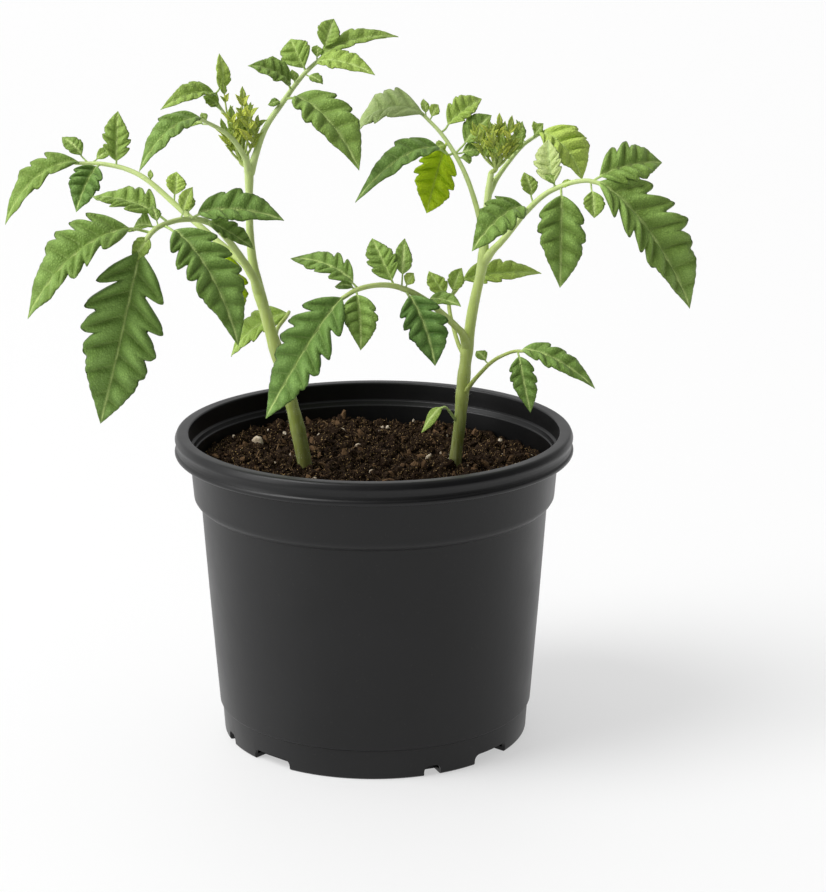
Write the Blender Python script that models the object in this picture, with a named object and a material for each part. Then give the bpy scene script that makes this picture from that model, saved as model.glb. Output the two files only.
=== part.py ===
"""A pair of young tomato plants in a black nursery pot.

The pot stands on the XY plane with its axis on Z, and its underside is the origin.
Every size below is in millimetres; the objects are made in metres.
"""

import math
from collections import namedtuple

import bmesh
import bpy
import numpy as np
from mathutils import Vector

MM = 0.001
GAP = 0.3  # air left between two pieces that would touch

# Driving dimensions of the pot
POT_HEIGHT = 126.0
RIM_RADIUS = 79.5
MOUTH_RADIUS = 74.5
FOOT_RADIUS = 62.2
FLOOR_THICK = 1.6
POT_SIDES = 56
NOTCH_HEIGHT = 4.0
NOTCH_INNER_RADIUS = 54.0
WIDE_NOTCH = 19.0
NARROW_NOTCH = 7.0
FIRST_NOTCH_ANGLE = -131.0  # degrees about Z from +X

# Driving dimensions of the soil
SOIL_LEVEL = 112.0
SOIL_RADIUS = 71.2
SOIL_BUMP = 1.4
SOCKET_DEPTH = 13.0
SOCKET_CLEARANCE = 0.5

# Driving dimensions of the plants
STALK_STEPS = 13  # rings along a leaf stalk
STEM_STEPS = 22
LEAF_THICK = 0.8
LEAFLET_STALK = 1.3  # full width of the short stalk that carries a leaflet
LOBES = 3  # on each side of a leaflet
STALK_SHARE = 0.10  # of a side leaflet's length; an end leaflet has almost none
END_STALK_SHARE = 0.02
PLAIN_OUTLINE = [(0.0, 0.0), (0.25, 0.0), (0.45, 0.8), (0.65, 1.0), (0.85, 0.7)]
WIDEST = (0.40, 0.95)  # powers of a leaflet's outline, which is widest where they balance

Leaf = namedtuple("Leaf", "stem radii route leaflets")
Leaflet = namedtuple("Leaflet", "name at tip width face bow", defaults=(0.14,))

STEMS = {
    "a": [
        (-27, -12, 100), (-27, -12, 112), (-30, -12, 129), (-36, -11, 152),
        (-42, -10, 174), (-46, -9, 189), (-48, -8, 206), (-48, -8, 233),
    ],
    "b": [
        (32, -7, 100), (32, -7, 112), (34, -7, 127), (36, -7, 151),
        (39, -6, 175), (43, -5, 195), (44, -4, 212), (46, -4, 230),
    ],
}
STEM_RADII = {
    "a": (3.0, 1.8),
    "b": (2.7, 1.7),
}

# The young growth above each stem: where it starts, where it ends, its widest radius.
SHOOTS = {
    "a": ((-48, -7.5, 236), (-53, -6, 262), 4.2),
    "b": ((46.3, -4, 233), (49, -3, 256), 7.5),
}

# Compound leaves, each a stalk from its stem and the leaflets on it. "at" is the place
# along the stalk from 0 to 1, "face" is the way the upper side looks, and "bow" is how far
# the leaflet arches towards that side, as a share of its length.
LEAVES = {
    "a1": Leaf("a", (1.5, 0.8), [
        (-45, -12, 187), (-50, -18, 198), (-60, -30, 214), (-70, -42, 219),
        (-81, -54, 217), (-87, -60, 207),
    ], [
        Leaflet("terminal", 1.0, (-103, -56, 143), 32, (0.0, -0.95, 0.3), 0.08),
        Leaflet("left", 0.78, (-128, -62, 185), 26, (-0.35, -0.6, 0.7), 0.26),
        Leaflet("upper", 0.72, (-106, -34, 226), 18, (0.0, -0.5, 0.85), 0.10),
        Leaflet("front", 0.76, (-49, -72, 177), 24, (0.45, -0.75, 0.45)),
        Leaflet("right", 0.63, (-33, -40, 218), 17, (0.1, -0.5, 0.85), 0.14),
        Leaflet("inner", 0.54, (-45, -35, 206), 10, (0.2, -0.6, 0.75), 0.10),
    ]),
    "a2": Leaf("a", (1.5, 0.7), [
        (-47, -8, 192), (-60, 0, 201), (-75, 9, 212), (-92, 17, 225),
        (-106, 22, 229), (-120, 26, 229),
    ], [
        Leaflet("terminal", 1.0, (-148, 20, 205), 16, (-0.4, -0.55, 0.7), 0.18),
        Leaflet("hanging", 0.87, (-118, 10, 212), 15, (-0.2, -0.9, 0.3), 0.10),
        Leaflet("upright", 0.78, (-102, 26, 250), 12, (0.1, -0.95, 0.2), 0.06),
        Leaflet("lower", 0.22, (-55, 12, 169), 21, (-0.1, -0.9, 0.3), 0.10),
    ]),
    "a3": Leaf("a", (1.1, 0.7), [
        (-48, -9, 234), (-52, -15, 243), (-57, -20, 249), (-65, -29, 255),
    ], [
        Leaflet("terminal", 1.0, (-87, -42, 237), 16, (-0.35, -0.6, 0.7), 0.18),
    ]),
    "a4": Leaf("a", (0.8, 0.6), [
        (-49, -1, 236), (-54, 5, 246), (-60, 8, 254), (-62, 7, 259),
    ], [
        Leaflet("terminal", 1.0, (-82, -6, 255), 11, (-0.1, -0.5, 0.85), 0.16),
        Leaflet("young", 0.9, (-60, 9, 275), 7, (0.6, -0.7, 0.3), 0.20),
    ]),
    "a5": Leaf("a", (1.4, 0.7), [
        (-47, -7, 233), (-42, -4, 247), (-35, 1, 257), (-27, 7, 267), (-19, 11, 274),
    ], [
        Leaflet("terminal", 1.0, (10, 20, 280), 12, (0.1, -0.45, 0.9), 0.10),
        Leaflet("right", 0.84, (1, -3, 268), 11, (0.1, -0.55, 0.8)),
        Leaflet("upright", 0.77, (-32, 14, 280), 14, (-0.3, -0.9, 0.3), 0.06),
        Leaflet("left", 0.62, (-48, -6, 272), 14, (0.0, -0.6, 0.8)),
        Leaflet("hanging", 0.54, (-5, -22, 234), 22, (0.45, -0.7, 0.55), 0.16),
    ]),
    "a6": Leaf("a", (0.9, 0.7), [
        (-39, -8, 165), (-38, -3, 168), (-35, 3, 171), (-34, 8, 172),
    ], [
        Leaflet("terminal", 1.0, (-58, 14, 152), 14, (-0.3, -0.75, 0.6)),
    ]),
    "b1": Leaf("b", (1.5, 0.8), [
        (36, -9, 166), (31, -16, 173), (20, -28, 185), (8, -40, 193),
        (-4, -49, 194), (-13, -55, 190),
    ], [
        Leaflet("terminal", 1.0, (-40, -60, 146), 24, (-0.15, -0.85, 0.5), 0.14),
        Leaflet("left", 0.84, (-31, -38, 203), 14, (-0.1, -0.55, 0.85)),
        Leaflet("hanging", 0.86, (-4, -62, 173), 14, (0.1, -0.92, 0.3), 0.08),
        Leaflet("front", 0.56, (24, -46, 163), 18, (0.2, -0.9, 0.35), 0.10),
        Leaflet("upright", 0.62, (0, -28, 209), 12, (-0.2, -0.8, 0.5), 0.08),
        Leaflet("right", 0.38, (34, -36, 184), 8, (0.1, -0.6, 0.8), 0.10),
    ]),
    "b2": Leaf("b", (0.9, 0.7), [
        (36, -2, 156), (33, 4, 162), (30, 13, 174), (33, 17, 179), (37, 19, 184),
    ], [
        Leaflet("terminal", 1.0, (68, 30, 183), 13, (0.1, -0.7, 0.7), 0.10),
        Leaflet("left", 0.66, (22, 16, 187), 8, (-0.1, -0.8, 0.5), 0.10),
    ]),
    "b3": Leaf("b", (1.4, 0.8), [
        (45, -6, 198), (51, -9, 205), (59, -13, 216), (68, -17, 225),
        (80, -21, 230), (89, -24, 229),
    ], [
        Leaflet("terminal", 1.0, (123, -22, 180), 29, (0.5, -0.7, 0.5), 0.12),
        Leaflet("hanging", 0.70, (72, -30, 190), 20, (0.05, -0.92, 0.3), 0.10),
        Leaflet("upper", 0.84, (112, -10, 235), 20, (0.05, -0.75, 0.65)),
        Leaflet("upright", 0.64, (68, -8, 244), 12, (-0.4, -0.85, 0.2), 0.06),
        Leaflet("left", 0.42, (38, -34, 205), 18, (-0.25, -0.7, 0.65), 0.18),
    ]),
    "b4": Leaf("b", (1.2, 0.7), [
        (43, 0, 204), (41, 3, 214), (36, 9, 228), (28, 15, 241), (19, 20, 250),
    ], [
        Leaflet("terminal", 1.0, (-8, 28, 240), 19, (-0.1, -0.6, 0.8), 0.28),
        Leaflet("right", 0.80, (43, 24, 255), 12, (0.0, -0.6, 0.8)),
        Leaflet("left", 0.62, (-7, -8, 219), 17, (-0.35, -0.6, 0.7), 0.24),
        Leaflet("lower", 0.76, (21, 13, 211), 18, (-0.1, -0.92, 0.3), 0.08),
    ]),
    "b5": Leaf("b", (1.0, 0.7), [
        (48, -1, 227), (53, 4, 233), (59, 9, 239), (66, 14, 243),
    ], [
        Leaflet("terminal", 1.0, (82, 4, 226), 21, (0.5, -0.75, 0.5), 0.22),
    ]),
    "b6": Leaf("b", (0.9, 0.6), [
        (38, -10, 146), (41, -14, 151), (47, -21, 159), (54, -27, 164), (59, -30, 165),
    ], [
        Leaflet("terminal", 1.0, (86, -34, 151), 13, (0.2, -0.55, 0.8), 0.16),
        Leaflet("hanging", 0.88, (61, -36, 142), 11, (0.1, -0.95, 0.2), 0.08),
    ]),
}
SEED_LEAF = Leaflet("seed_leaf", 0, (20, -18, 129), 6, (-0.3, -0.6, 0.75), 0.10)
SEED_LEAF_START = (29, -10, 134)

COLOURS = {  # linear RGB and roughness
    "pot": ((0.018, 0.018, 0.020), 0.42),
    "soil": ((0.035, 0.020, 0.012), 0.95),
    "stem": ((0.28, 0.42, 0.12), 0.55),
    "leaf": ((0.055, 0.16, 0.035), 0.48),
    "shoot": ((0.20, 0.36, 0.08), 0.50),
}


def clear_scene():
    for item in list(bpy.data.objects):
        bpy.data.objects.remove(item, do_unlink=True)


def finish_of(kind):
    """The material of this kind, made the first time it is asked for."""
    found = bpy.data.materials.get(kind)
    if found:
        return found
    colour, roughness = COLOURS[kind]
    made = bpy.data.materials.new(kind)
    made.use_nodes = True
    shader = made.node_tree.nodes["Principled BSDF"]
    shader.inputs["Base Color"].default_value = (*colour, 1)
    shader.inputs["Roughness"].default_value = roughness
    return made


def smooth_route(points, steps):
    """Evenly numbered points on the smooth curve through the given ones."""
    knots = np.array(points, float)
    ends = np.vstack([2 * knots[0] - knots[1], knots, 2 * knots[-1] - knots[-2]])
    place = np.linspace(0, len(knots) - 1, steps)
    curve = []
    for value in place:
        i = min(int(value), len(knots) - 2)
        t = value - i
        p0, p1, p2, p3 = ends[i : i + 4]
        curve.append(
            0.5 * (2 * p1 + (p2 - p0) * t + (2 * p0 - 5 * p1 + 4 * p2 - p3) * t**2
                   + (3 * p1 - p0 - 3 * p2 + p3) * t**3)
        )
    return np.array(curve)


def point_along(route, share):
    """The point at this share of a route's length."""
    steps = np.linalg.norm(np.diff(route, axis=0), axis=1)
    run = np.concatenate([[0], np.cumsum(steps)]) / steps.sum()
    return np.array([np.interp(share, run, route[:, axis]) for axis in range(3)])


def distance_to(route, point):
    """The distance from a point to a route of straight pieces."""
    start, end = route[:-1], route[1:]
    run = end - start
    share = np.einsum("ij,ij->i", point - start, run) / np.einsum("ij,ij->i", run, run)
    nearest = start + np.clip(share, 0, 1)[:, None] * run
    return np.linalg.norm(nearest - point, axis=1).min()


def tube(name, route, radii, kind, sides_level=1):
    """A tapering round stalk along a route: a curve with a round bevel and closed ends."""
    curve = bpy.data.curves.new(name, "CURVE")
    curve.dimensions = "3D"
    curve.bevel_depth = MM
    curve.bevel_resolution = sides_level
    curve.use_fill_caps = True
    spline = curve.splines.new("POLY")
    spline.points.add(len(route) - 1)
    for i, point in enumerate(route):
        share = i / (len(route) - 1)
        spline.points[i].co = (*(point * MM), 1)
        spline.points[i].radius = radii[0] + (radii[1] - radii[0]) * share
    made = bpy.data.objects.new(name, curve)
    bpy.context.collection.objects.link(made)
    curve.materials.append(finish_of(kind))
    return made


def mesh_object(name, mesh, kind, smooth=True):
    """A closed mesh, with its faces turned outwards, as a named object."""
    bmesh.ops.recalc_face_normals(mesh, faces=mesh.faces)
    data = bpy.data.meshes.new(name)
    mesh.to_mesh(data)
    mesh.free()
    if smooth:
        data.shade_smooth()
        data.set_sharp_from_angle(angle=math.radians(35))
    data.materials.append(finish_of(kind))
    made = bpy.data.objects.new(name, data)
    bpy.context.collection.objects.link(made)
    return made


def turned(profile, sides):
    """A closed body of revolution about Z from a closed (radius, height) outline."""
    mesh = bmesh.new()
    rings = []
    for radius, height in profile:
        if radius < 1e-6:
            rings.append([mesh.verts.new((0, 0, height * MM))])
            continue
        ring = []
        for k in range(sides):
            angle = 2 * math.pi * k / sides
            spot = (radius * math.cos(angle), radius * math.sin(angle), height)
            ring.append(mesh.verts.new(Vector(spot) * MM))
        rings.append(ring)
    for lower, upper in zip(rings, rings[1:]):
        for k in range(sides):
            corners = []
            for ring, step in ((lower, k), (lower, k + 1), (upper, k + 1), (upper, k)):
                corner = ring[step % len(ring)]
                if corner not in corners:
                    corners.append(corner)
            mesh.faces.new(corners)
    return mesh


def cut(body, cutter):
    """Cuts one object out of another and hides the cutter."""
    cutter.hide_render = True
    cutter.display_type = "WIRE"
    modifier = body.modifiers.new("cut_" + cutter.name, "BOOLEAN")
    modifier.operation = "DIFFERENCE"
    modifier.object = cutter


def pot_profile():
    """The outline of the pot's wall, from the middle of its underside round to the inside."""
    return [
        (0, 0),
        (FOOT_RADIUS - 0.8, 0),
        (FOOT_RADIUS, 0.8),
        (63.0, 12.4),
        (64.0, 12.8),
        (70.0, 96.0),
        (72.7, 99.0),
        (74.0, 116.0),
        (79.2, 117.2),
        (80.1, 119.2),
        (80.1, 121.0),
        (79.2, 122.2),
        (79.9, 123.2),
        (RIM_RADIUS, 125.3),
        (RIM_RADIUS - 1.2, POT_HEIGHT),
        (MOUTH_RADIUS + 0.5, POT_HEIGHT),
        (MOUTH_RADIUS, 125.4),
        (MOUTH_RADIUS - 0.3, 118.2),
        (72.6, 117.4),
        (71.6, 100.0),
        (68.8, 96.5),
        (62.0, 11.0),
        (60.6, FLOOR_THICK),
        (0, FLOOR_THICK),
    ]


def notch_cutter(name, angle, width):
    """A flat-topped block with rounded upper corners, lying across the pot's foot."""
    mesh = bmesh.new()
    half = width / 2
    corner = 1.6
    outline = [(-half, -2), (half, -2), (half, NOTCH_HEIGHT - corner)]
    outline += [(half - corner, NOTCH_HEIGHT), (-half + corner, NOTCH_HEIGHT)]
    outline += [(-half, NOTCH_HEIGHT - corner)]
    inner = [mesh.verts.new(Vector((NOTCH_INNER_RADIUS, y, z)) * MM) for y, z in outline]
    face = mesh.faces.new(inner)
    pushed = bmesh.ops.extrude_face_region(mesh, geom=[face])["geom"]
    outer = [item for item in pushed if isinstance(item, bmesh.types.BMVert)]
    bmesh.ops.translate(mesh, vec=Vector((16 * MM, 0, 0)), verts=outer)
    made = mesh_object(name, mesh, "pot", smooth=False)
    made.rotation_euler.z = math.radians(angle)
    return made


def build_pot():
    pot = mesh_object("pot", turned(pot_profile(), POT_SIDES), "pot")
    for k in range(4):
        quarter = FIRST_NOTCH_ANGLE + 90 * k
        cut(pot, notch_cutter(f"wide_notch_{k}", quarter, WIDE_NOTCH))
        cut(pot, notch_cutter(f"narrow_notch_{k}", quarter - 27, NARROW_NOTCH))


def soil_height(x, y):
    """A gently heaped, uneven top."""
    waves = math.sin(0.21 * x + 1.3) * math.cos(0.17 * y - 0.6)
    ripples = 0.5 * math.sin(0.47 * x - 0.33 * y)
    return SOIL_LEVEL + SOIL_BUMP * (waves + ripples) * 0.6


def build_soil():
    """One plug of soil: flat below, stepped over the notches, uneven on top."""
    side = [
        (0, FLOOR_THICK + GAP),
        (NOTCH_INNER_RADIUS - 1.5, FLOOR_THICK + GAP),
        (NOTCH_INNER_RADIUS - 1.5, NOTCH_HEIGHT + 1.0),
        (60.4, NOTCH_HEIGHT + 1.0),
        (61.2, 11.0),
        (68.0, 97.0),
        (70.8, 101.0),
        (SOIL_RADIUS, SOIL_LEVEL - 2.5),
    ]
    top = [(radius, SOIL_LEVEL) for radius in (67, 56, 44, 32, 20, 9, 0)]
    mesh = turned(side + top, 36)
    for vert in mesh.verts:
        if vert.co.z > (SOIL_LEVEL - 1) * MM:
            vert.co.z = soil_height(vert.co.x / MM, vert.co.y / MM) * MM
    soil = mesh_object("soil", mesh, "soil")
    for key, route in STEMS.items():
        radius = STEM_RADII[key][0] + SOCKET_CLEARANCE
        x, y, _ = route[0]
        bottom = SOIL_LEVEL - SOCKET_DEPTH
        profile = [(0, bottom), (radius, bottom), (radius, SOIL_LEVEL + 8), (0, SOIL_LEVEL + 8)]
        socket = mesh_object("socket_" + key, turned(profile, 12), "soil")
        socket.location = (x * MM, y * MM, 0)
        cut(soil, socket)


def unit(vector):
    return vector / np.linalg.norm(vector)


def side_width(share):
    """Half the width of a leaflet's smooth outline, 0 to 1, at a share of its blade."""
    rise, fall = WIDEST
    widest = rise / (rise + fall)
    return (share / widest) ** rise * ((1 - share) / (1 - widest)) ** fall


def margin(stalk_share):
    """(length share, width share) of one side of a leaflet, stalk to tip."""
    points = [(0.0, 0.0), (stalk_share, 0.0)]
    blade = 1 - stalk_share
    for k in range(LOBES):
        start = (k + 0.12) / (LOBES + 0.9)
        peak = (k + 0.75) / (LOBES + 0.9)
        depth = 0.40 - 0.10 * k
        points.append((stalk_share + blade * start, side_width(start) * (1 - depth)))
        points.append((stalk_share + blade * peak, side_width(peak)))
    return points


def arch_height(share):
    """How far a leaflet stands off its chord, 0 to 1: most a little nearer its stalk."""
    return share**0.7 * (1 - share) / 0.3162


def leaflet(name, start, row, kind="leaf", plain=False):
    """A thin closed blade from its short stalk to its tip, lobed, arched and lightly folded.

    Each station has a left edge, a midrib and a right edge, above and below.
    """
    tip = np.array(row.tip, float)
    length = np.linalg.norm(tip - start)
    ahead = (tip - start) / length
    face = np.array(row.face, float)
    up = unit(face - np.dot(face, ahead) * ahead)
    side = np.cross(ahead, up)
    outline = PLAIN_OUTLINE if plain else margin(END_STALK_SHARE if row.at == 1 else STALK_SHARE)
    mesh = bmesh.new()
    stations = []
    for share, width in outline:
        half = max(LEAFLET_STALK / 2, row.width / 2 * width)
        arch = arch_height(share) * row.bow * length
        middle = start + ahead * share * length + up * arch
        lift = 0.22 * (half - LEAFLET_STALK / 2)
        edges = [middle + side * half + up * lift, middle, middle - side * half + up * lift]
        below = [mesh.verts.new(Vector(p - up * LEAF_THICK / 2) * MM) for p in edges]
        above = [mesh.verts.new(Vector(p + up * LEAF_THICK / 2) * MM) for p in edges]
        stations.append(below + above[::-1])
    for near, far in zip(stations, stations[1:]):
        for k in range(6):
            nxt = (k + 1) % 6
            mesh.faces.new((near[k], near[nxt], far[nxt], far[k]))
    mesh.faces.new(stations[0])
    point = [mesh.verts.new(Vector(tip + up * LEAF_THICK / 2 * s) * MM) for s in (-1, 1)]
    last = stations[-1]
    mesh.faces.new((last[0], last[1], point[0]))
    mesh.faces.new((last[1], last[2], point[0]))
    mesh.faces.new((last[2], last[3], point[1], point[0]))
    mesh.faces.new((last[3], last[4], point[1]))
    mesh.faces.new((last[4], last[5], point[1]))
    mesh.faces.new((last[5], last[0], point[0], point[1]))
    bmesh.ops.triangulate(mesh, faces=mesh.faces)
    return mesh_object(name, mesh, kind)


def build_stems():
    routes = {}
    for key, points in STEMS.items():
        routes[key] = smooth_route(points, STEM_STEPS)
        tube("stem_" + key, routes[key], STEM_RADII[key], "stem", sides_level=2)
    return routes


def stalk_route(leaf, stem_route):
    """The stalk's curve, begun where it is clear of its stem."""
    fine = smooth_route(leaf.route, 60)
    clearance = STEM_RADII[leaf.stem][0] * 0.86 + leaf.radii[0] + GAP
    first = next(i for i, p in enumerate(fine) if distance_to(stem_route, p) > clearance)
    keep = np.linspace(first, len(fine) - 1, STALK_STEPS).round().astype(int)
    return fine[keep]


def build_leaf(key, leaf, stem_route):
    route = stalk_route(leaf, stem_route)
    tube(f"leaf_{key}_stalk", route, leaf.radii, "stem")
    for row in leaf.leaflets:
        clearance = leaf.radii[0] + LEAFLET_STALK / 2 + GAP
        if row.at == 1:
            clearance = GAP + LEAF_THICK
        start = point_along(route, row.at)
        ahead = unit(np.array(row.tip) - start)
        while distance_to(route, start) < clearance:
            start = start + ahead * 0.1
        leaflet(f"leaf_{key}_{row.name}", start, row)


def build_shoot(key, start, end, radius):
    """The young folded growth at a shoot's end, as one bud-shaped body."""
    start, end = np.array(start, float), np.array(end, float)
    swell = [(0.0, 0.30), (0.15, 0.34), (0.35, 0.62), (0.6, 1.0), (0.8, 0.85), (1.0, 0.25)]
    curve = bpy.data.curves.new("shoot_tip_" + key, "CURVE")
    curve.dimensions = "3D"
    curve.bevel_depth = MM
    curve.bevel_resolution = 2
    curve.use_fill_caps = True
    spline = curve.splines.new("POLY")
    spline.points.add(len(swell) - 1)
    for i, (share, width) in enumerate(swell):
        spline.points[i].co = (*((start + (end - start) * share) * MM), 1)
        spline.points[i].radius = radius * width
    made = bpy.data.objects.new("shoot_tip_" + key, curve)
    bpy.context.collection.objects.link(made)
    curve.materials.append(finish_of("shoot"))


def main():
    clear_scene()
    build_pot()
    build_soil()
    stem_routes = build_stems()
    for key, leaf in LEAVES.items():
        build_leaf(key, leaf, stem_routes[leaf.stem])
    for key, (start, end, radius) in SHOOTS.items():
        build_shoot(key, start, end, radius)
    leaflet("seed_leaf", np.array(SEED_LEAF_START, float), SEED_LEAF, plain=True)


main()
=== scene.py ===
# %% [markdown]
# # Two young tomato plants in a nursery pot
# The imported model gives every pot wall, stem, stalk and leaflet its place and size.
# This lesson dresses that frame: it keeps each place, and grows the fine surface on it.

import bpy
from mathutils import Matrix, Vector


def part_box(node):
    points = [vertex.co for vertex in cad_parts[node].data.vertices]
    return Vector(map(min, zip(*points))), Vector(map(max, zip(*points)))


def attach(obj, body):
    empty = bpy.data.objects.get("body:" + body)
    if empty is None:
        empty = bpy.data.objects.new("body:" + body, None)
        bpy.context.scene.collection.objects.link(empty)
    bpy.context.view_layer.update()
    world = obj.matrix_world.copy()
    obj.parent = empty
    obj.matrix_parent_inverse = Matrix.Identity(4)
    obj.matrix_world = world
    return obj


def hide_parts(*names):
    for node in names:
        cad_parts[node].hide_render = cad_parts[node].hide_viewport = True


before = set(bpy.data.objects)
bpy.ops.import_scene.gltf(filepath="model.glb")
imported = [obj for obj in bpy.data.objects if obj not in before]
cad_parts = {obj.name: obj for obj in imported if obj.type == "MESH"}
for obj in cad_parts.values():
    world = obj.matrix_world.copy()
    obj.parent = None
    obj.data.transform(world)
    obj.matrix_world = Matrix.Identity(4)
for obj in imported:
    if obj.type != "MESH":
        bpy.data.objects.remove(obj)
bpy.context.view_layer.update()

# %% Tools
import math
import random

import bmesh
import bpy
import numpy as np
from mathutils import Vector, noise

MM = 0.001
SCENE = bpy.context.scene


def unit(vector):
    """The same direction, one long."""
    return vector / np.linalg.norm(vector)


# %% [markdown]
# ## The view
# A long lens a metre away keeps the pot's rim a calm ellipse. The camera looks a little down,
# so that the soil shows behind the near rim. The picture is a little higher than it is wide,
# and a sensor size counts along the longer side.

# %% Camera
CAMERA_PLACE = (0.0156, -1.0, 0.3994)
CAMERA_TILT = 15.69  # degrees below the horizon
CAMERA_LENS = 104.07  # millimetres
CAMERA_SENSOR = 36

camera_data = bpy.data.cameras.new("camera")
camera_data.lens = CAMERA_LENS
camera_data.sensor_width = CAMERA_SENSOR
camera = bpy.data.objects.new("camera", camera_data)
camera.location = CAMERA_PLACE
camera.rotation_euler = (math.radians(90 - CAMERA_TILT), 0, 0)
SCENE.collection.objects.link(camera)
SCENE.camera = camera
SCENE.view_settings.view_transform = "Standard"
print("camera:", CAMERA_LENS, "mm lens at", CAMERA_PLACE)

# %% [markdown]
# ## Light
# A studio shot on white. The sky is brighter behind, above and to the left, and dimmer in
# front, so the black pot keeps its depth. One very wide sun adds a soft direction: a sun is
# equally strong everywhere, which keeps the white floor even to the edges of the picture. A
# large soft lamp on the left draws a broad streak down the pot.

# %% Sky and lamps
SKY_LEVEL = 0.40
SKY_LEAN = (-0.30, 0.30, 0.22)  # how much the sky brightens towards each axis
SUN_FROM = Vector((-0.70, -0.25, 1.0))
SUN_WIDTH = 36.0  # degrees
SUN_STRENGTH = 2.30
SIDE_PLACE = Vector((-1.25, -0.45, 0.55))
SIDE_STRENGTH = 4.5  # watts
SIDE_SIZE = 0.8
AIM = Vector((0, 0, 0.12))  # both lamps look at the pot's rim

sky = bpy.data.worlds.new("sky")
sky.use_nodes = True
sky_tree = sky.node_tree
direction = sky_tree.nodes.new("ShaderNodeTexCoord")
lean = sky_tree.nodes.new("ShaderNodeVectorMath")
lean.operation = "DOT_PRODUCT"
lean.inputs[1].default_value = SKY_LEAN
level = sky_tree.nodes.new("ShaderNodeMath")
level.inputs[1].default_value = SKY_LEVEL
sky_tree.links.new(direction.outputs["Generated"], lean.inputs[0])
sky_tree.links.new(lean.outputs["Value"], level.inputs[0])
sky_tree.nodes["Background"].inputs["Color"].default_value = (1, 1, 1, 1)
sky_tree.links.new(level.outputs[0], sky_tree.nodes["Background"].inputs["Strength"])
SCENE.world = sky


def add_lamp(name, kind, place, strength):
    """A lamp of this kind, turned to look at the plant."""
    data = bpy.data.lights.new(name, kind)
    data.energy = strength
    lamp = bpy.data.objects.new(name, data)
    lamp.location = place
    lamp.rotation_euler = (AIM - place).to_track_quat("-Z", "Y").to_euler()
    SCENE.collection.objects.link(lamp)
    return data


add_lamp("sun", "SUN", SUN_FROM, SUN_STRENGTH).angle = math.radians(SUN_WIDTH)
side_lamp = add_lamp("side", "AREA", SIDE_PLACE, SIDE_STRENGTH)
side_lamp.shape = "DISK"
side_lamp.size = SIDE_SIZE
print("light: sky", SKY_LEVEL, "sun", SUN_STRENGTH)

# %% [markdown]
# ## Materials by node
# Each finish is a Principled shader whose colour, roughness and bump come from small node
# patterns. The helper below keeps that short: it adds one node, sets its options and joins its
# inputs in one call.

# %% A node helper
def put(tree, kind, options=None, **inputs):
    """Adds a node. An input given as a socket is joined, and any other value is set.

    An input's name has low lines for its spaces, and i0, i1 and so on give it by number.
    """
    node = tree.nodes.new(kind)
    for key, value in (options or {}).items():
        setattr(node, key, value)
    for key, value in inputs.items():
        name = key.replace("_", " ")
        socket = node.inputs[int(name[1:])] if name[0] == "i" and name[1:].isdigit() else node.inputs[name]
        if isinstance(value, bpy.types.NodeSocket):
            tree.links.new(value, socket)
        else:
            socket.default_value = value
    return node


def new_finish(name, roughness=0.5, **fixed):
    """A material with one Principled shader, and the fixed numbers set on its own sockets."""
    finish = bpy.data.materials.new(name)
    finish.use_nodes = True
    shader = finish.node_tree.nodes["Principled BSDF"]
    shader.inputs["Roughness"].default_value = roughness
    for key, value in fixed.items():
        shader.inputs[key.replace("_", " ")].default_value = value
    return finish, finish.node_tree, shader


def ramp(tree, factor, stops):
    """A colour ramp through (place, colour) stops."""
    node = put(tree, "ShaderNodeValToRGB", Fac=factor)
    bar = node.color_ramp
    while len(bar.elements) < len(stops):
        bar.elements.new(0.5)
    for element, (place, colour) in zip(bar.elements, stops):
        element.position = place
        element.color = (*colour, 1)
    return node.outputs["Color"]


def grain(tree, scale, detail=3.0, rough=0.55):
    """Noise on object coordinates, as one number."""
    place = put(tree, "ShaderNodeTexCoord").outputs["Object"]
    node = put(tree, "ShaderNodeTexNoise", Vector=place, Scale=scale, Detail=detail, Roughness=rough)
    return node.outputs["Fac"]


def blend_colour(tree, factor, first, second):
    """One colour turning into another; either may be a socket or a plain colour."""
    node = tree.nodes.new("ShaderNodeMix")
    node.data_type = "RGBA"
    for socket, value in ((node.inputs[0], factor), (node.inputs[6], first), (node.inputs[7], second)):
        if isinstance(value, bpy.types.NodeSocket):
            tree.links.new(value, socket)
        else:
            socket.default_value = value if isinstance(value, float) else (*value, 1)
    return node.outputs[2]


def math_node(tree, operation, first, second):
    """One sum, product or power of two numbers or sockets."""
    return put(tree, "ShaderNodeMath", {"operation": operation}, i0=first, i1=second).outputs[0]


def attribute(tree, name):
    """A number that the mesh holds on each of its points."""
    return put(tree, "ShaderNodeAttribute", {"attribute_name": name}).outputs["Fac"]


def bump(tree, height, strength, distance):
    """A normal from a height, with its depth in metres."""
    node = put(tree, "ShaderNodeBump", Height=height, Strength=strength, Distance=distance)
    return node.outputs["Normal"]


# %% [markdown]
# ## Pot
# The pot is blow-moulded black plastic: a thin tapered wall, a collar, and a rolled rim with
# two beads. Every wall is a circle round one axis, so one outline swept round a circle makes
# it all. Geometry Nodes do the sweep, and also cut the drainage notches, because those repeat
# round the foot. The height and the rim's radius are read from the frame's own pot.

# %% Geometry Nodes helpers
SOCKETS = {float: "NodeSocketFloat", int: "NodeSocketInt"}
WELD = 1e-6  # points closer than this are one point


def new_tree(name, sizes):
    """A geometry tree with a geometry input and output and one named input for each size."""
    tree = bpy.data.node_groups.new(name, "GeometryNodeTree")
    tree.interface.new_socket("Geometry", in_out="INPUT", socket_type="NodeSocketGeometry")
    tree.interface.new_socket("Geometry", in_out="OUTPUT", socket_type="NodeSocketGeometry")
    for key, value in sizes.items():
        kind = "NodeSocketMaterial" if isinstance(value, bpy.types.Material) else SOCKETS[type(value)]
        tree.interface.new_socket(key, in_out="INPUT", socket_type=kind)
    return tree, tree.nodes.new("NodeGroupInput"), tree.nodes.new("NodeGroupOutput")


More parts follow.
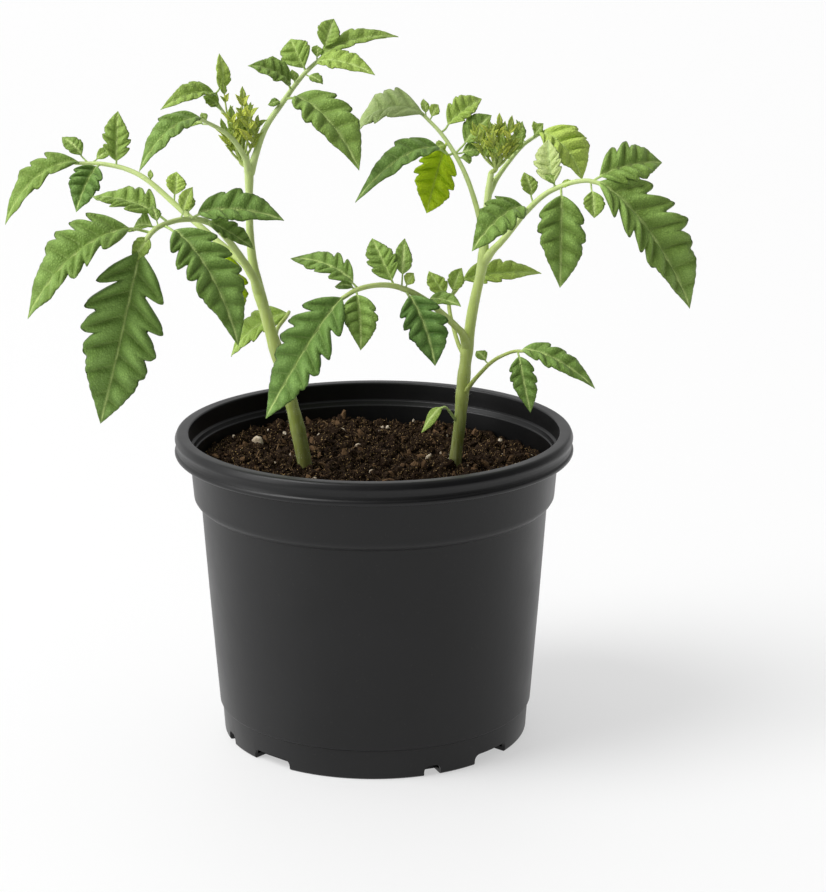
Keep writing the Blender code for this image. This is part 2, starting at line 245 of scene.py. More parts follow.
def grow(name, base, tree, sizes):
    """Runs a tree on an object and returns the result as a plain mesh object."""
    modifier = base.modifiers.new("grow", "NODES")
    modifier.node_group = tree
    for item in tree.interface.items_tree:
        if item.item_type == "SOCKET" and item.in_out == "INPUT" and item.name in sizes:
            modifier[item.identifier] = sizes[item.name]
    graph = bpy.context.evaluated_depsgraph_get()
    mesh = bpy.data.meshes.new_from_object(
        base.evaluated_get(graph), preserve_all_data_layers=True, depsgraph=graph
    )
    base.modifiers.remove(modifier)
    bpy.data.objects.remove(base)
    grown = bpy.data.objects.new(name, mesh)
    SCENE.collection.objects.link(grown)
    print(f"{name}: {len(mesh.polygons)} faces")
    return grown


def line_object(name, points, radii=None):
    """Points joined in a row, with an optional radius at each, for a tree to read."""
    mesh = bpy.data.meshes.new(name)
    mesh.from_pydata([tuple(point) for point in points], [(i, i + 1) for i in range(len(points) - 1)], [])
    if radii is not None:
        mesh.attributes.new("radius", "FLOAT", "POINT").data.foreach_set("value", radii)
    made = bpy.data.objects.new(name, mesh)
    SCENE.collection.objects.link(made)
    return made


# %% Pot outline
pot_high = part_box("pot")[1]
POT_HEIGHT = pot_high.z / MM
BEAD_RADIUS = pot_high.x / MM


def arc(centre, radius, start, end, steps=7):
    """Points on a small arc in the outline, angles in degrees from outwards towards up."""
    angles = np.radians(np.linspace(start, end, steps))
    return [(centre[0] + radius * math.cos(a), centre[1] + radius * math.sin(a)) for a in angles]


def pot_outline():
    """(radius, height) in millimetres, from the middle of the underside round to the inside."""
    top = POT_HEIGHT
    rim = BEAD_RADIUS
    outside = [(0, 0.25), (30, 0.25), (52, 0.2), (54, 0), (rim - 19.5, 0)]
    outside += arc((rim - 18.9, 1.0), 1.0, -90, -6)
    outside += [(rim - 17.15, 12.2), (rim - 16.6, 12.75)]
    outside += arc((rim - 16.7, 13.3), 0.55, -40, 0, 4)
    outside += [(rim - 13.1, 54.0), (rim - 10.3, 95.4), (rim - 10.1, 96.6)]
    outside += [(rim - 8.1, 98.3), (rim - 7.45, 99.4), (rim - 7.3, 100.6)]
    outside += [(rim - 6.1, top - 10.6), (rim - 5.9, top - 9.6), (rim - 5.2, top - 9.0)]
    bead = arc((rim - 1.35, top - 7.65), 1.35, -90, 62, 9)
    groove = [(rim - 0.98, top - 5.5), (rim - 1.02, top - 4.9)]
    lip = arc((rim - 1.75, top - 2.6), 1.6, -30, 20, 5) + arc((rim - 2.1, top - 1.5), 1.5, 24, 90, 7)
    inner = [(rim - 3.6, top + 0.02), (rim - 4.9, top - 0.1)]
    inner += arc((rim - 4.95, top - 0.85), 0.75, 95, 180, 6)
    inner += [(rim - 5.75, top - 4.5), (rim - 5.95, top - 7.2)]
    inner += arc((rim - 6.5, top - 8.1), 0.6, 100, 180, 5) + arc((rim - 7.5, top - 9.9), 0.7, 100, 180, 5)
    inner += [(rim - 8.5, top - 25)]
    inner += [(rim - 11.3, top - 29.5), (rim - 18.1, 11), (rim - 19.5, 1.6), (0, 1.6)]
    return outside + bead + groove + lip + inner


outline = pot_outline()
print("pot outline:", len(outline), "points, rim radius", round(BEAD_RADIUS, 1), "mm")

# %% Pot plastic
def pot_plastic():
    """Near-black plastic with a satin skin, faint cloudy wear and fine moulded grain."""
    finish, tree, shader = new_finish("black_plastic", 0.4, Specular_IOR_Level=0.32)
    cloud = grain(tree, 28.0, 4.0)
    speck = grain(tree, 900.0, 2.0)
    colour = ramp(tree, cloud, [(0.3, (0.0035, 0.0035, 0.0038)), (0.7, (0.0065, 0.0065, 0.0070))])
    dust = ramp(tree, speck, [(0.66, (0, 0, 0)), (0.78, (1, 1, 1))])
    dusty = math_node(tree, "MULTIPLY", dust, 0.05)
    tree.links.new(blend_colour(tree, dusty, colour, (0.16, 0.15, 0.13)), shader.inputs["Base Color"])
    dull = math_node(tree, "MULTIPLY_ADD", cloud, 0.22)
    dull.node.inputs[2].default_value = 0.27
    tree.links.new(dull, shader.inputs["Roughness"])
    height = math_node(tree, "ADD", math_node(tree, "MULTIPLY", speck, 0.35), grain(tree, 160.0, 2.0))
    tree.links.new(bump(tree, height, 0.3, 0.00012), shader.inputs["Normal"])
    return finish


PLASTIC = pot_plastic()

# %% Pot tree
pot_sizes = {
    "Sides": 144,
    "Notches": 4,
    "Foot radius": 0.0555,
    "Notch width": 0.019,
    "Notch height": 0.0085,
    "Notch corner": 0.0024,
    "Notch depth": 0.013,
    "Small notch width": 0.007,
    "First notch": math.radians(-131.0),
    "Small notch turn": math.radians(-27.0),
    "Plastic": PLASTIC,
}


def notch_ring(tree, given, width, turn):
    """Rounded blocks standing round the foot, ready to be cut out of it."""
    block = put(tree, "GeometryNodeCurvePrimitiveQuadrilateral", Width=given["Notch height"],
                Height=given[width])
    round_off = put(tree, "GeometryNodeFilletCurve", {"mode": "POLY"}, Curve=block.outputs[0],
                    Radius=given["Notch corner"], Count=5)
    filled = put(tree, "GeometryNodeFillCurve", Curve=round_off.outputs[0])
    deep = put(tree, "GeometryNodeExtrudeMesh", Mesh=filled.outputs[0], Offset_Scale=given["Notch depth"],
               Individual=False)
    back = put(tree, "GeometryNodeFlipFaces", Mesh=filled.outputs[0])
    whole = tree.nodes.new("GeometryNodeJoinGeometry")
    tree.links.new(deep.outputs["Mesh"], whole.inputs[0])
    tree.links.new(back.outputs[0], whole.inputs[0])
    closed = put(tree, "GeometryNodeMergeByDistance", Geometry=whole.outputs[0], Distance=WELD)
    faced = put(tree, "GeometryNodeTransform", Geometry=closed.outputs[0], Rotation=(0, math.pi / 2, 0))
    ring = put(tree, "GeometryNodeMeshCircle", Vertices=given["Notches"], Radius=given["Foot radius"])
    place = put(tree, "GeometryNodeInputPosition").outputs[0]
    aim = put(tree, "FunctionNodeAlignRotationToVector", {"axis": "X"}, Vector=place)
    spread = put(tree, "GeometryNodeInstanceOnPoints", Points=ring.outputs[0], Instance=faced.outputs[0],
                 Rotation=aim.outputs[0])
    spin = put(tree, "ShaderNodeCombineXYZ", Z=given[turn])
    turned = put(tree, "GeometryNodeTransform", Geometry=spread.outputs[0], Rotation=spin.outputs[0])
    return put(tree, "GeometryNodeRealizeInstances", Geometry=turned.outputs[0]).outputs[0]


def pot_tree(sizes):
    """The outline swept round a circle, with two rings of notches cut out of its foot."""
    tree, given, out = new_tree("turned_pot", sizes)
    given = given.outputs
    curve = put(tree, "GeometryNodeMeshToCurve", Mesh=given["Geometry"])
    circle = put(tree, "GeometryNodeCurvePrimitiveCircle", Resolution=given["Sides"], Radius=1.0)
    wall = put(tree, "GeometryNodeCurveToMesh", Curve=circle.outputs[0], Profile_Curve=curve.outputs[0])
    shut = put(tree, "GeometryNodeMergeByDistance", Geometry=wall.outputs[0], Distance=WELD)
    wide = notch_ring(tree, given, "Notch width", "First notch")
    narrow = notch_ring(tree, given, "Small notch width", "First notch")
    nudge = put(tree, "ShaderNodeCombineXYZ", Z=given["Small notch turn"])
    narrow = put(tree, "GeometryNodeTransform", Geometry=narrow, Rotation=nudge.outputs[0]).outputs[0]
    cut = put(tree, "GeometryNodeMeshBoolean", {"operation": "DIFFERENCE", "solver": "EXACT"},
              Mesh_1=shut.outputs[0])
    tree.links.new(wide, cut.inputs["Mesh 2"])
    tree.links.new(narrow, cut.inputs["Mesh 2"])
    real = put(tree, "GeometryNodeRealizeInstances", Geometry=cut.outputs[0])
    done = put(tree, "GeometryNodeSetMaterial", Geometry=real.outputs[0], Material=given["Plastic"])
    tree.links.new(done.outputs[0], out.inputs[0])
    return tree


# %% Pot piece
def shade_round(piece, degrees):
    """Smooth shading, with edges sharper than this angle kept crisp."""
    piece.data.shade_smooth()
    piece.data.set_sharp_from_angle(angle=math.radians(degrees))


# A profile's Y runs down when it is swept round a level circle one metre in radius.
profile = [(radius * MM - 1.0, -height * MM, 0) for radius, height in outline]
pot = grow("nursery_pot", line_object("profile", profile), pot_tree(pot_sizes), pot_sizes)
shade_round(pot, 30)
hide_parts("pot")
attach(pot, "root")


# %% [markdown]
# ## Reading a stalk from the frame
# Each stem and leaf stalk in the frame is a plain tapered tube. Its rings of points are found
# by walking outwards from one closed end, a ring at a time. The middle of each ring gives the
# route, and its size gives the thickness, so the fine stalk lies exactly where the plain one is.

# %% Tube reader
CAP_ANGLE = 1.2  # at a tube's end the faces turn by more than this many radians
FAR_BELOW = np.array([[0, 0, -1.0]])  # a stem starts at the end that is nearest to this point


def merged(node):
    """A copy of a node's mesh with its loose triangles joined."""
    mesh = bmesh.new()
    mesh.from_mesh(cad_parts[node].data)
    bmesh.ops.remove_doubles(mesh, verts=mesh.verts, dist=WELD)
    return mesh


def tube_rings(node, near):
    """Centres and radii of a tube's rings, starting at the end nearest to a set of points."""
    mesh = merged(node)
    ends = [v for v in mesh.verts if any(e.calc_face_angle(0) > CAP_ANGLE for e in v.link_edges)]
    reach = {v: min(np.linalg.norm(np.array(v.co) - point) for point in near) for v in ends}
    first = min(ends, key=reach.get)
    size = max(4, len(ends) // 2)
    ring = sorted(ends, key=lambda v: (v.co - first.co).length)[:size]
    seen, centres, radii = set(ring), [], []
    while ring:
        spots = np.array([v.co for v in ring])
        centres.append(spots.mean(0))
        radii.append(np.linalg.norm(spots - centres[-1], axis=1).mean())
        ring = list({e.other_vert(v) for v in ring for e in v.link_edges} - seen)
        seen.update(ring)
    mesh.free()
    return np.array(centres), np.minimum.accumulate(radii)  # a stem only gets thinner on its way


def smooth_route(knots, steps):
    """Points on the smooth curve through some knots, evenly numbered between them."""
    ends = np.vstack([2 * knots[0] - knots[1], knots, 2 * knots[-1] - knots[-2]])
    curve = []
    for value in np.linspace(0, len(knots) - 1, steps):
        i = min(int(value), len(knots) - 2)
        t = value - i
        p0, p1, p2, p3 = ends[i : i + 4]
        curve.append(0.5 * (2 * p1 + (p2 - p0) * t + (2 * p0 - 5 * p1 + 4 * p2 - p3) * t**2
                            + (3 * p1 - p0 - 3 * p2 + p3) * t**3))
    return np.array(curve)


def nearest_on(route, point):
    """The place on a route that is nearest to a point."""
    start, run = route[:-1], np.diff(route, axis=0)
    share = np.einsum("ij,ij->i", point - start, run) / np.einsum("ij,ij->i", run, run)
    spots = start + np.clip(share, 0, 1)[:, None] * run
    return spots[np.linalg.norm(spots - point, axis=1).argmin()]


def steps_along(route):
    """The length of each step of a route."""
    return np.linalg.norm(np.diff(route, axis=0), axis=1)


def place_along(route, share):
    """The point at this share of a route's length."""
    steps = steps_along(route)
    run = np.concatenate([[0], np.cumsum(steps)]) / steps.sum()
    return np.array([np.interp(share, run, route[:, axis]) for axis in range(3)])


# %% Stem and stalk routes
stem_routes, stalk_routes = {}, {}
for key in "ab":
    stem_routes[key] = tube_rings(f"stem_{key}", FAR_BELOW)
for node in sorted(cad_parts):
    if node.endswith("_stalk"):
        stalk_routes[node] = tube_rings(node, stem_routes[node[5]][0])  # the sixth letter names its stem
        rings, radii = stalk_routes[node]
        print(node, len(rings), "rings, thickest", round(2 * radii.max() / MM, 2), "mm")


# %% [markdown]
# ## Soil
# Potting soil is a dark uneven bed with crumbs, bark chips, fibres and white perlite on it.
# The bed is a closed disc with a noisy top. Geometry Nodes scatter the rest: one tree scatters
# a lump or a fibre of mixed sizes over the bed's top, and it is used six times with other
# sizes and finishes. The largest white beads are listed one by one.

# %% Soil finishes
def soil_finish(name, dark, light, fleck, dull):
    """Damp earth, mottled dark and light, with small pale flecks."""
    finish, tree, shader = new_finish(name, dull, Specular_IOR_Level=0.03)
    mottle = grain(tree, 420.0, 5.0, 0.7)
    colour = ramp(tree, mottle, [(0.34, dark), (0.66, light)])
    shade = blend_colour(tree, attribute(tree, "shade"), colour, light)
    spots = ramp(tree, grain(tree, 1500.0, 2.0), [(0.63, (0, 0, 0)), (0.70, (1, 1, 1))])
    flecked = blend_colour(tree, math_node(tree, "MULTIPLY", spots, 0.8), shade, fleck)
    tree.links.new(flecked, shader.inputs["Base Color"])
    tree.links.new(bump(tree, grain(tree, 1100.0, 4.0), 0.8, 0.0006), shader.inputs["Normal"])
    return finish


EARTH = soil_finish("earth", (0.0010, 0.0006, 0.0003), (0.030, 0.018, 0.011), (0.55, 0.37, 0.16), 0.7)
BARK = soil_finish("bark", (0.020, 0.011, 0.006), (0.15, 0.090, 0.048), (0.30, 0.17, 0.08), 0.65)
FIBRE = soil_finish("fibre", (0.045, 0.026, 0.014), (0.22, 0.14, 0.075), (0.34, 0.2, 0.09), 0.6)
PERLITE = soil_finish("perlite", (0.36, 0.27, 0.18), (0.70, 0.60, 0.47), (0.9, 0.86, 0.78), 0.6)

# %% Soil bed
soil_low, soil_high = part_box("soil")
SOIL_LEVEL = soil_high.z
SOIL_RADIUS = (soil_high.x - soil_low.x) / 2
SOIL_RINGS, SOIL_SECTORS = 100, 260
SOIL_DEPTH = 28 * MM
SOIL_NARROWING = 0.93  # how much narrower the bed is at its underside
SWELLS = [(1.7, 38), (1.6, 95), (2.0, 200), (0.9, 560), (0.5, 1300)]  # height in mm, and how close together
SETTLED = 1.2  # millimetres that the whole bed has sunk
BACK_DIP = 3.0  # millimetres that it lies lower at the back right
DIP_START, DIP_LENGTH = 30 * MM, 60 * MM
STEM_RISE = 2.0  # millimetres that it rises at a stem
RISE_REACH = 8 * MM
STEM_FEET = [stem_routes[key][0][0] for key in "ab"]


def soil_height(x, y):
    """The bed's height: mounds and lumps, lower at the back right, with a rise at each stem."""
    place = Vector((x, y, 0.0))
    lift = sum(height * noise.noise(place * fineness) for height, fineness in SWELLS) - SETTLED
    lift -= BACK_DIP * min(max((x + y - DIP_START) / DIP_LENGTH, 0), 1)
    for spot in STEM_FEET:
        lift += STEM_RISE * math.exp(-(((x - spot[0]) ** 2 + (y - spot[1]) ** 2) / RISE_REACH**2))
    return SOIL_LEVEL + lift * MM


def finish_piece(name, mesh, material):
    """A mesh in the making as a smooth-shaded object with one material."""
    bmesh.ops.recalc_face_normals(mesh, faces=mesh.faces)
    data = bpy.data.meshes.new(name)
    mesh.to_mesh(data)
    mesh.free()
    data.shade_smooth()
    data.materials.append(material)
    piece = bpy.data.objects.new(name, data)
    SCENE.collection.objects.link(piece)
    return piece


bed = bmesh.new()
middle = bed.verts.new((0, 0, soil_height(0, 0)))
rings = []
for r in range(1, SOIL_RINGS + 1):
    radius = SOIL_RADIUS * (r / SOIL_RINGS) ** 0.8  # closer together towards the edge
    ring = []
    for k in range(SOIL_SECTORS):
        turn = 2 * math.pi * k / SOIL_SECTORS
        x, y = radius * math.cos(turn), radius * math.sin(turn)
        ring.append(bed.verts.new((x, y, soil_height(x, y))))
    rings.append(ring)
foot = [
    bed.verts.new((v.co.x * SOIL_NARROWING, v.co.y * SOIL_NARROWING, SOIL_LEVEL - SOIL_DEPTH))
    for v in rings[-1]
]
for k in range(SOIL_SECTORS):
    bed.faces.new((middle, rings[0][k], rings[0][(k + 1) % SOIL_SECTORS]))
for inner, outer in zip(rings, rings[1:] + [foot]):
    for k in range(SOIL_SECTORS):
        m = (k + 1) % SOIL_SECTORS
        bed.faces.new((inner[k], outer[k], outer[m], inner[m]))
bed.faces.new(foot[::-1])
soil_bed = finish_piece("soil_bed", bed, EARTH)
bed_mesh = soil_bed.data
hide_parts("soil")
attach(soil_bed, "root")
print("soil bed:", len(bed_mesh.polygons), "faces, radius", round(SOIL_RADIUS / MM, 1), "mm")

# %% Scatter tree
scatter_sizes = {
    "Lumps per square metre": 200000.0,
    "Smallest": 0.0005,
    "Largest": 0.0014,
    "Roundness": 1,
    "Stretch": 1.3,
    "Roughness": 0.35,
    "Stand off": 0.0002,
    "Seed": 1,
    "Finish": EARTH,
}
FACES_UP = 0.3  # a face carries lumps when its normal's height is above this
DENT_REACH = 0.004  # metres that a roughness of one moves a lump's points


def scatter_tree(sizes):
    """Uneven lumps of mixed size on every face that looks up."""
    tree, given, out = new_tree("scattered_lumps", sizes)
    given = given.outputs
    normal = put(tree, "GeometryNodeInputNormal").outputs[0]
    facing_up = put(tree, "ShaderNodeSeparateXYZ", Vector=normal).outputs["Z"]
    top = put(tree, "FunctionNodeCompare", {"data_type": "FLOAT", "operation": "GREATER_THAN"},
              i0=facing_up, i1=FACES_UP)
    spots = put(tree, "GeometryNodeDistributePointsOnFaces", Mesh=given["Geometry"], Selection=top.outputs[0],
                Density=given["Lumps per square metre"], Seed=given["Seed"])
    shade = put(tree, "FunctionNodeRandomValue", {"data_type": "FLOAT"}, i2=0.0, i3=0.85, Seed=given["Seed"])
    shaded = put(tree, "GeometryNodeStoreNamedAttribute", Geometry=spots.outputs[0], Name="shade",
                 Value=shade.outputs[1])
    ball = put(tree, "GeometryNodeMeshIcoSphere", Radius=1.0, Subdivisions=given["Roundness"])
    longer = put(tree, "ShaderNodeCombineXYZ", X=given["Stretch"], Y=1.0, Z=0.8)
    lump = put(tree, "GeometryNodeTransform", Geometry=ball.outputs[0], Scale=longer.outputs[0])
    turn = put(tree, "FunctionNodeRandomValue", {"data_type": "FLOAT_VECTOR"}, i1=(2 * math.pi,) * 3,
               Seed=given["Seed"])
    spin = put(tree, "FunctionNodeEulerToRotation", Euler=turn.outputs[0])
    pick = put(tree, "FunctionNodeRandomValue", {"data_type": "FLOAT"}, i2=0.0, i3=1.0, Seed=given["Seed"])
    skewed = math_node(tree, "POWER", pick.outputs[1], 2.2)
    span = math_node(tree, "SUBTRACT", given["Largest"], given["Smallest"])
    size = math_node(tree, "ADD", math_node(tree, "MULTIPLY", skewed, span), given["Smallest"])
    lumps = put(tree, "GeometryNodeInstanceOnPoints", Points=shaded.outputs[0], Instance=lump.outputs[0],
                Rotation=spin.outputs[0], Scale=size)
    real = put(tree, "GeometryNodeRealizeInstances", Geometry=lumps.outputs[0])
    wobble = put(tree, "ShaderNodeTexNoise", Scale=800.0, Detail=1.0)
    centred = put(tree, "ShaderNodeVectorMath", {"operation": "SUBTRACT"}, i0=wobble.outputs["Color"],
                  i1=(0.5, 0.5, 0.5))
    reach = math_node(tree, "MULTIPLY", given["Roughness"], DENT_REACH)
    push = put(tree, "ShaderNodeVectorMath", {"operation": "SCALE"}, i0=centred.outputs[0])
    tree.links.new(reach, push.inputs["Scale"])
    lift = put(tree, "ShaderNodeCombineXYZ", Z=given["Stand off"])
    offset = put(tree, "ShaderNodeVectorMath", {"operation": "ADD"}, i0=push.outputs[0], i1=lift.outputs[0])
    rough = put(tree, "GeometryNodeSetPosition", Geometry=real.outputs[0], Offset=offset.outputs[0])
    done = put(tree, "GeometryNodeSetMaterial", Geometry=rough.outputs[0], Material=given["Finish"])
    tree.links.new(done.outputs[0], out.inputs[0])
    return tree


SCATTER = scatter_tree(scatter_sizes)


def bed_copy(radius):
    """The part of the bed's top within this radius, as a fresh object to scatter on."""
    mesh = bmesh.new()
    mesh.from_mesh(bed_mesh)
    off = [v for v in mesh.verts if math.hypot(v.co.x, v.co.y) > radius]
    bmesh.ops.delete(mesh, geom=off, context="VERTS")
    data = bpy.data.meshes.new("bed_top")
    mesh.to_mesh(data)
    mesh.free()
    made = bpy.data.objects.new("bed_top", data)
    SCENE.collection.objects.link(made)
    return made


def scattered(name, **changes):
    """One use of the tree, with some of its sizes changed."""
    sizes = dict(scatter_sizes, **{key.replace("_", " "): value for key, value in changes.items()})
    piece = grow(name, bed_copy(SOIL_RADIUS - 2 * sizes["Largest"] - MM), SCATTER, sizes)
    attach(piece, "root")
    return piece


# %% Crumbs, chips, fibres and perlite
scattered("soil_crumbs", Lumps_per_square_metre=480000.0, Smallest=0.0003, Largest=0.0015, Seed=1)
scattered("soil_lumps", Lumps_per_square_metre=60000.0, Smallest=0.0008, Largest=0.0022, Roughness=0.5,
          Stand_off=0.0005, Seed=7)
scattered("soil_clods", Lumps_per_square_metre=6000.0, Smallest=0.0016, Largest=0.0034, Roundness=3,
          Roughness=0.7, Seed=2)
scattered("bark_chips", Lumps_per_square_metre=16000.0, Smallest=0.0004, Largest=0.0016, Stretch=2.2,
          Roughness=0.3, Stand_off=0.0009, Seed=3, Finish=BARK)
scattered("soil_fibres", Lumps_per_square_metre=26000.0, Smallest=0.00009, Largest=0.0002, Stretch=16.0,
          Roughness=0.25, Stand_off=0.0010, Seed=5, Finish=FIBRE)
scattered("perlite_grit", Lumps_per_square_metre=3000.0, Smallest=0.0003, Largest=0.0009, Roundness=2,
          Roughness=0.3, Stand_off=0.0012, Seed=11, Finish=PERLITE)

# %% Large perlite beads
BEADS = [  # place in millimetres from the pot's middle, radius in millimetres
    (-48, 18, 2.4), (63, 3.5, 1.5), (-0.6, -22, 1.1), (-7, 20, 1.4), (22, 3, 1.4),
    (-2, -40, 1.5), (-40, -6, 0.9), (34, 26, 1.2), (-14, 40, 1.3), (57, -8, 1.1),
]
BEAD_LIFT = 0.75  # how far a bead's middle is above the soil, as a share of its radius
BEAD_DENTS = 0.22  # how uneven a bead is, as a share of its radius
beads = bmesh.new()
for number, (x, y, radius) in enumerate(BEADS):
    grown = bmesh.ops.create_icosphere(beads, subdivisions=3, radius=radius * MM)["verts"]
    centre = Vector((x * MM, y * MM, soil_height(x * MM, y * MM) + BEAD_LIFT * radius * MM))
    for vert in grown:
        lump = noise.noise(vert.co / (radius * MM) * 1.3 + Vector((number * 5.0, 0, 0)))
        vert.co = vert.co * (1 + BEAD_DENTS * lump) + centre
bead_piece = finish_piece("perlite_beads", beads, PERLITE)
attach(bead_piece, "root")
print("beads:", len(BEADS), "with", len(bead_piece.data.polygons), "faces")

# %% [markdown]
# ## Stems and stalks
# A stem is a round tube that follows its route, a little swollen where a stalk leaves it, and
# covered with short soft hairs. Geometry Nodes sweep the tube and scatter the hairs, so one
# tree makes both stems and all the leaf stalks. A number called "hair" marks each hair's
# points, and the finish turns them pale.

# %% Stem finish
def stem_finish():
    """Fibrous green skin: brownish near the soil, yellow-green higher up, with pale hairs."""
    finish, tree, shader = new_finish("stem_skin", 0.5, Specular_IOR_Level=0.3)
    place = put(tree, "ShaderNodeTexCoord").outputs["Object"]
    height = put(tree, "ShaderNodeSeparateXYZ", Vector=place).outputs["Z"]
    low = ramp(tree, math_node(tree, "MULTIPLY", height, 3.5), [
        (0.38, (0.155, 0.150, 0.045)), (0.46, (0.29, 0.35, 0.065)), (0.60, (0.46, 0.57, 0.14)),
        (0.85, (0.60, 0.74, 0.29)),
    ])
    squash = put(tree, "ShaderNodeMapping", Vector=place, Scale=(1.0, 1.0, 0.12))
    fibre = put(tree, "ShaderNodeTexNoise", Vector=squash.outputs[0], Scale=900.0, Detail=3.0).outputs["Fac"]
    streaks = ramp(tree, fibre, [(0.35, (0, 0, 0)), (0.7, (1, 1, 1))])
    streaked = blend_colour(tree, streaks, low, (0.60, 0.66, 0.38))
    mixed = blend_colour(tree, math_node(tree, "MULTIPLY", fibre, 0.45), low, streaked)
    patches = ramp(tree, grain(tree, 120.0, 3.0), [(0.5, (0, 0, 0)), (0.85, (0.5, 0.5, 0.5))])
    tinged = blend_colour(tree, patches, mixed, (0.17, 0.24, 0.05))
    haired = blend_colour(tree, attribute(tree, "hair"), tinged, (0.80, 0.84, 0.68))
    tree.links.new(haired, shader.inputs["Base Color"])
    tree.links.new(bump(tree, fibre, 0.35, 0.0002), shader.inputs["Normal"])
    return finish


STEM_SKIN = stem_finish()

# %% Stem tree
stem_sizes = {
    "Sides": 12,
    "Unevenness": 0.16,
    "Hairs per square metre": 330000.0,
    "Hair length": 0.0009,
    "Hair radius": 0.000045,
    "Hair tilt": 0.5,
    "Seed": 4,
    "Skin": STEM_SKIN,
}


def stem_tree(sizes):
    """A round tube along a line of points, with leaning hairs of mixed length all over it."""
    tree, given, out = new_tree("hairy_stem", sizes)
    given = given.outputs
    curve = put(tree, "GeometryNodeMeshToCurve", Mesh=given["Geometry"])
    radius = put(tree, "GeometryNodeInputNamedAttribute", Name="radius").outputs[0]
    lump = put(tree, "ShaderNodeTexNoise", Scale=260.0, Detail=2.0).outputs[0]
    sway = math_node(tree, "MULTIPLY", math_node(tree, "SUBTRACT", lump, 0.5), given["Unevenness"])
    thick = math_node(tree, "MULTIPLY", radius, math_node(tree, "ADD", sway, 1.0))
    circle = put(tree, "GeometryNodeCurvePrimitiveCircle", Resolution=given["Sides"], Radius=1.0)
    tube = put(tree, "GeometryNodeCurveToMesh", Curve=curve.outputs[0], Profile_Curve=circle.outputs[0],
               Scale=thick, Fill_Caps=True)
    cone = put(tree, "GeometryNodeMeshCone", {"fill_type": "NGON"}, Vertices=3, Radius_Top=0.0,
               Radius_Bottom=given["Hair radius"], Depth=given["Hair length"])
    marked = put(tree, "GeometryNodeStoreNamedAttribute", Geometry=cone.outputs[0], Name="hair", Value=1.0)
    spots = put(tree, "GeometryNodeDistributePointsOnFaces", Mesh=tube.outputs[0],
                Density=given["Hairs per square metre"], Seed=given["Seed"])
    most, least = given["Hair tilt"], math_node(tree, "MULTIPLY", given["Hair tilt"], -1.0)
    tilt = put(tree, "FunctionNodeRandomValue", {"data_type": "FLOAT_VECTOR"}, Seed=given["Seed"])
    tree.links.new(least, tilt.inputs[0])
    tree.links.new(most, tilt.inputs[1])
    turn = put(tree, "FunctionNodeEulerToRotation", Euler=tilt.outputs[0])
    leaning = put(tree, "FunctionNodeRotateRotation", {"rotation_space": "LOCAL"},
                  Rotation=spots.outputs["Rotation"], Rotate_By=turn.outputs[0])
    size = put(tree, "FunctionNodeRandomValue", {"data_type": "FLOAT"}, i2=0.4, i3=1.15, Seed=given["Seed"])
    hairs = put(tree, "GeometryNodeInstanceOnPoints", Points=spots.outputs[0], Instance=marked.outputs[0],
                Rotation=leaning.outputs[0], Scale=size.outputs[1])
    both = tree.nodes.new("GeometryNodeJoinGeometry")
    tree.links.new(tube.outputs[0], both.inputs[0])
    tree.links.new(hairs.outputs[0], both.inputs[0])
    real = put(tree, "GeometryNodeRealizeInstances", Geometry=both.outputs[0])
    done = put(tree, "GeometryNodeSetMaterial", Geometry=real.outputs[0], Material=given["Skin"])
    tree.links.new(done.outputs[0], out.inputs[0])
    return tree


# %% Stem and stalk pieces
STEM_TOP_TAPER = 0.7  # how thin a stem gets at its top, beside the frame's plain tube
STEM_FOOT_TAPER = 0.88  # and at the soil
TAPER_PLACES = [0.1, 0.3, 0.6, 1]  # the foot's taper ends at the second, and the top's starts at the third
STEM_BELOW = 12 * MM  # how much further down into the soil a stem runs
STALK_RISE = 1.3  # how far below its own start a stalk leaves the stem, in gaps between the two
STALK_SWELLING = (0.6, 4.5 * MM)  # how much thicker a stalk is at its root, and how far that reaches
STEM_SWELLING = (0.16, 4 * MM)  # and a stem where a stalk leaves it
STALK_SIDES, STEM_SIDES = 10, 18
STEM_TREE = stem_tree(stem_sizes)


def swollen(route, radii, places, swelling):
    """Radii made larger near some places on a route."""
    share, reach = swelling
    out = np.array(radii)
    for place in places:
        gap = np.linalg.norm(route - place, axis=1)
        out = out * (1 + share * np.exp(-((gap / reach) ** 2)))
    return out


def hairy_piece(node, route, radii, sides):
    """One stem or stalk grown along its route."""
    sizes = dict(stem_sizes, Sides=sides)
    piece = grow(node + "_fine", line_object("route", route, radii=radii), STEM_TREE, sizes)
    piece.data.shade_smooth()
    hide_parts(node)
    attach(piece, "root")
    return piece


joints_on = {key: [] for key in "ab"}
for node, (knots, thick) in stalk_routes.items():
    stem = stem_routes[node[5]][0]
    gap = np.linalg.norm(nearest_on(stem, knots[0]) - knots[0])
    root = nearest_on(stem, knots[0] - (0, 0, STALK_RISE * gap))  # a stalk leaves its stem upwards
    joints_on[node[5]].append(root)
    knots = np.vstack([root, knots])
    thick = np.concatenate([[thick[0]], thick])
    route = smooth_route(knots, 6 * len(knots))
    radii = np.interp(np.linspace(0, 1, len(route)), np.linspace(0, 1, len(thick)), thick)
    hairy_piece(node, route, swollen(route, radii, [root], STALK_SWELLING), STALK_SIDES)

for key, (knots, thick) in stem_routes.items():
    knots = np.vstack([knots[0] + STEM_BELOW * unit(knots[0] - knots[1]), knots])
    thick = np.concatenate([[thick[0] * 1.1], thick])
    route = smooth_route(knots, 10 * len(knots))
    along = np.linspace(0, 1, len(route))
    radii = np.interp(along, np.linspace(0, 1, len(thick)), thick)
    radii = radii * np.interp(along, TAPER_PLACES, [STEM_FOOT_TAPER, 1, 1, STEM_TOP_TAPER])
    hairy_piece("stem_" + key, route, swollen(route, radii, joints_on[key], STEM_SWELLING), STEM_SIDES)

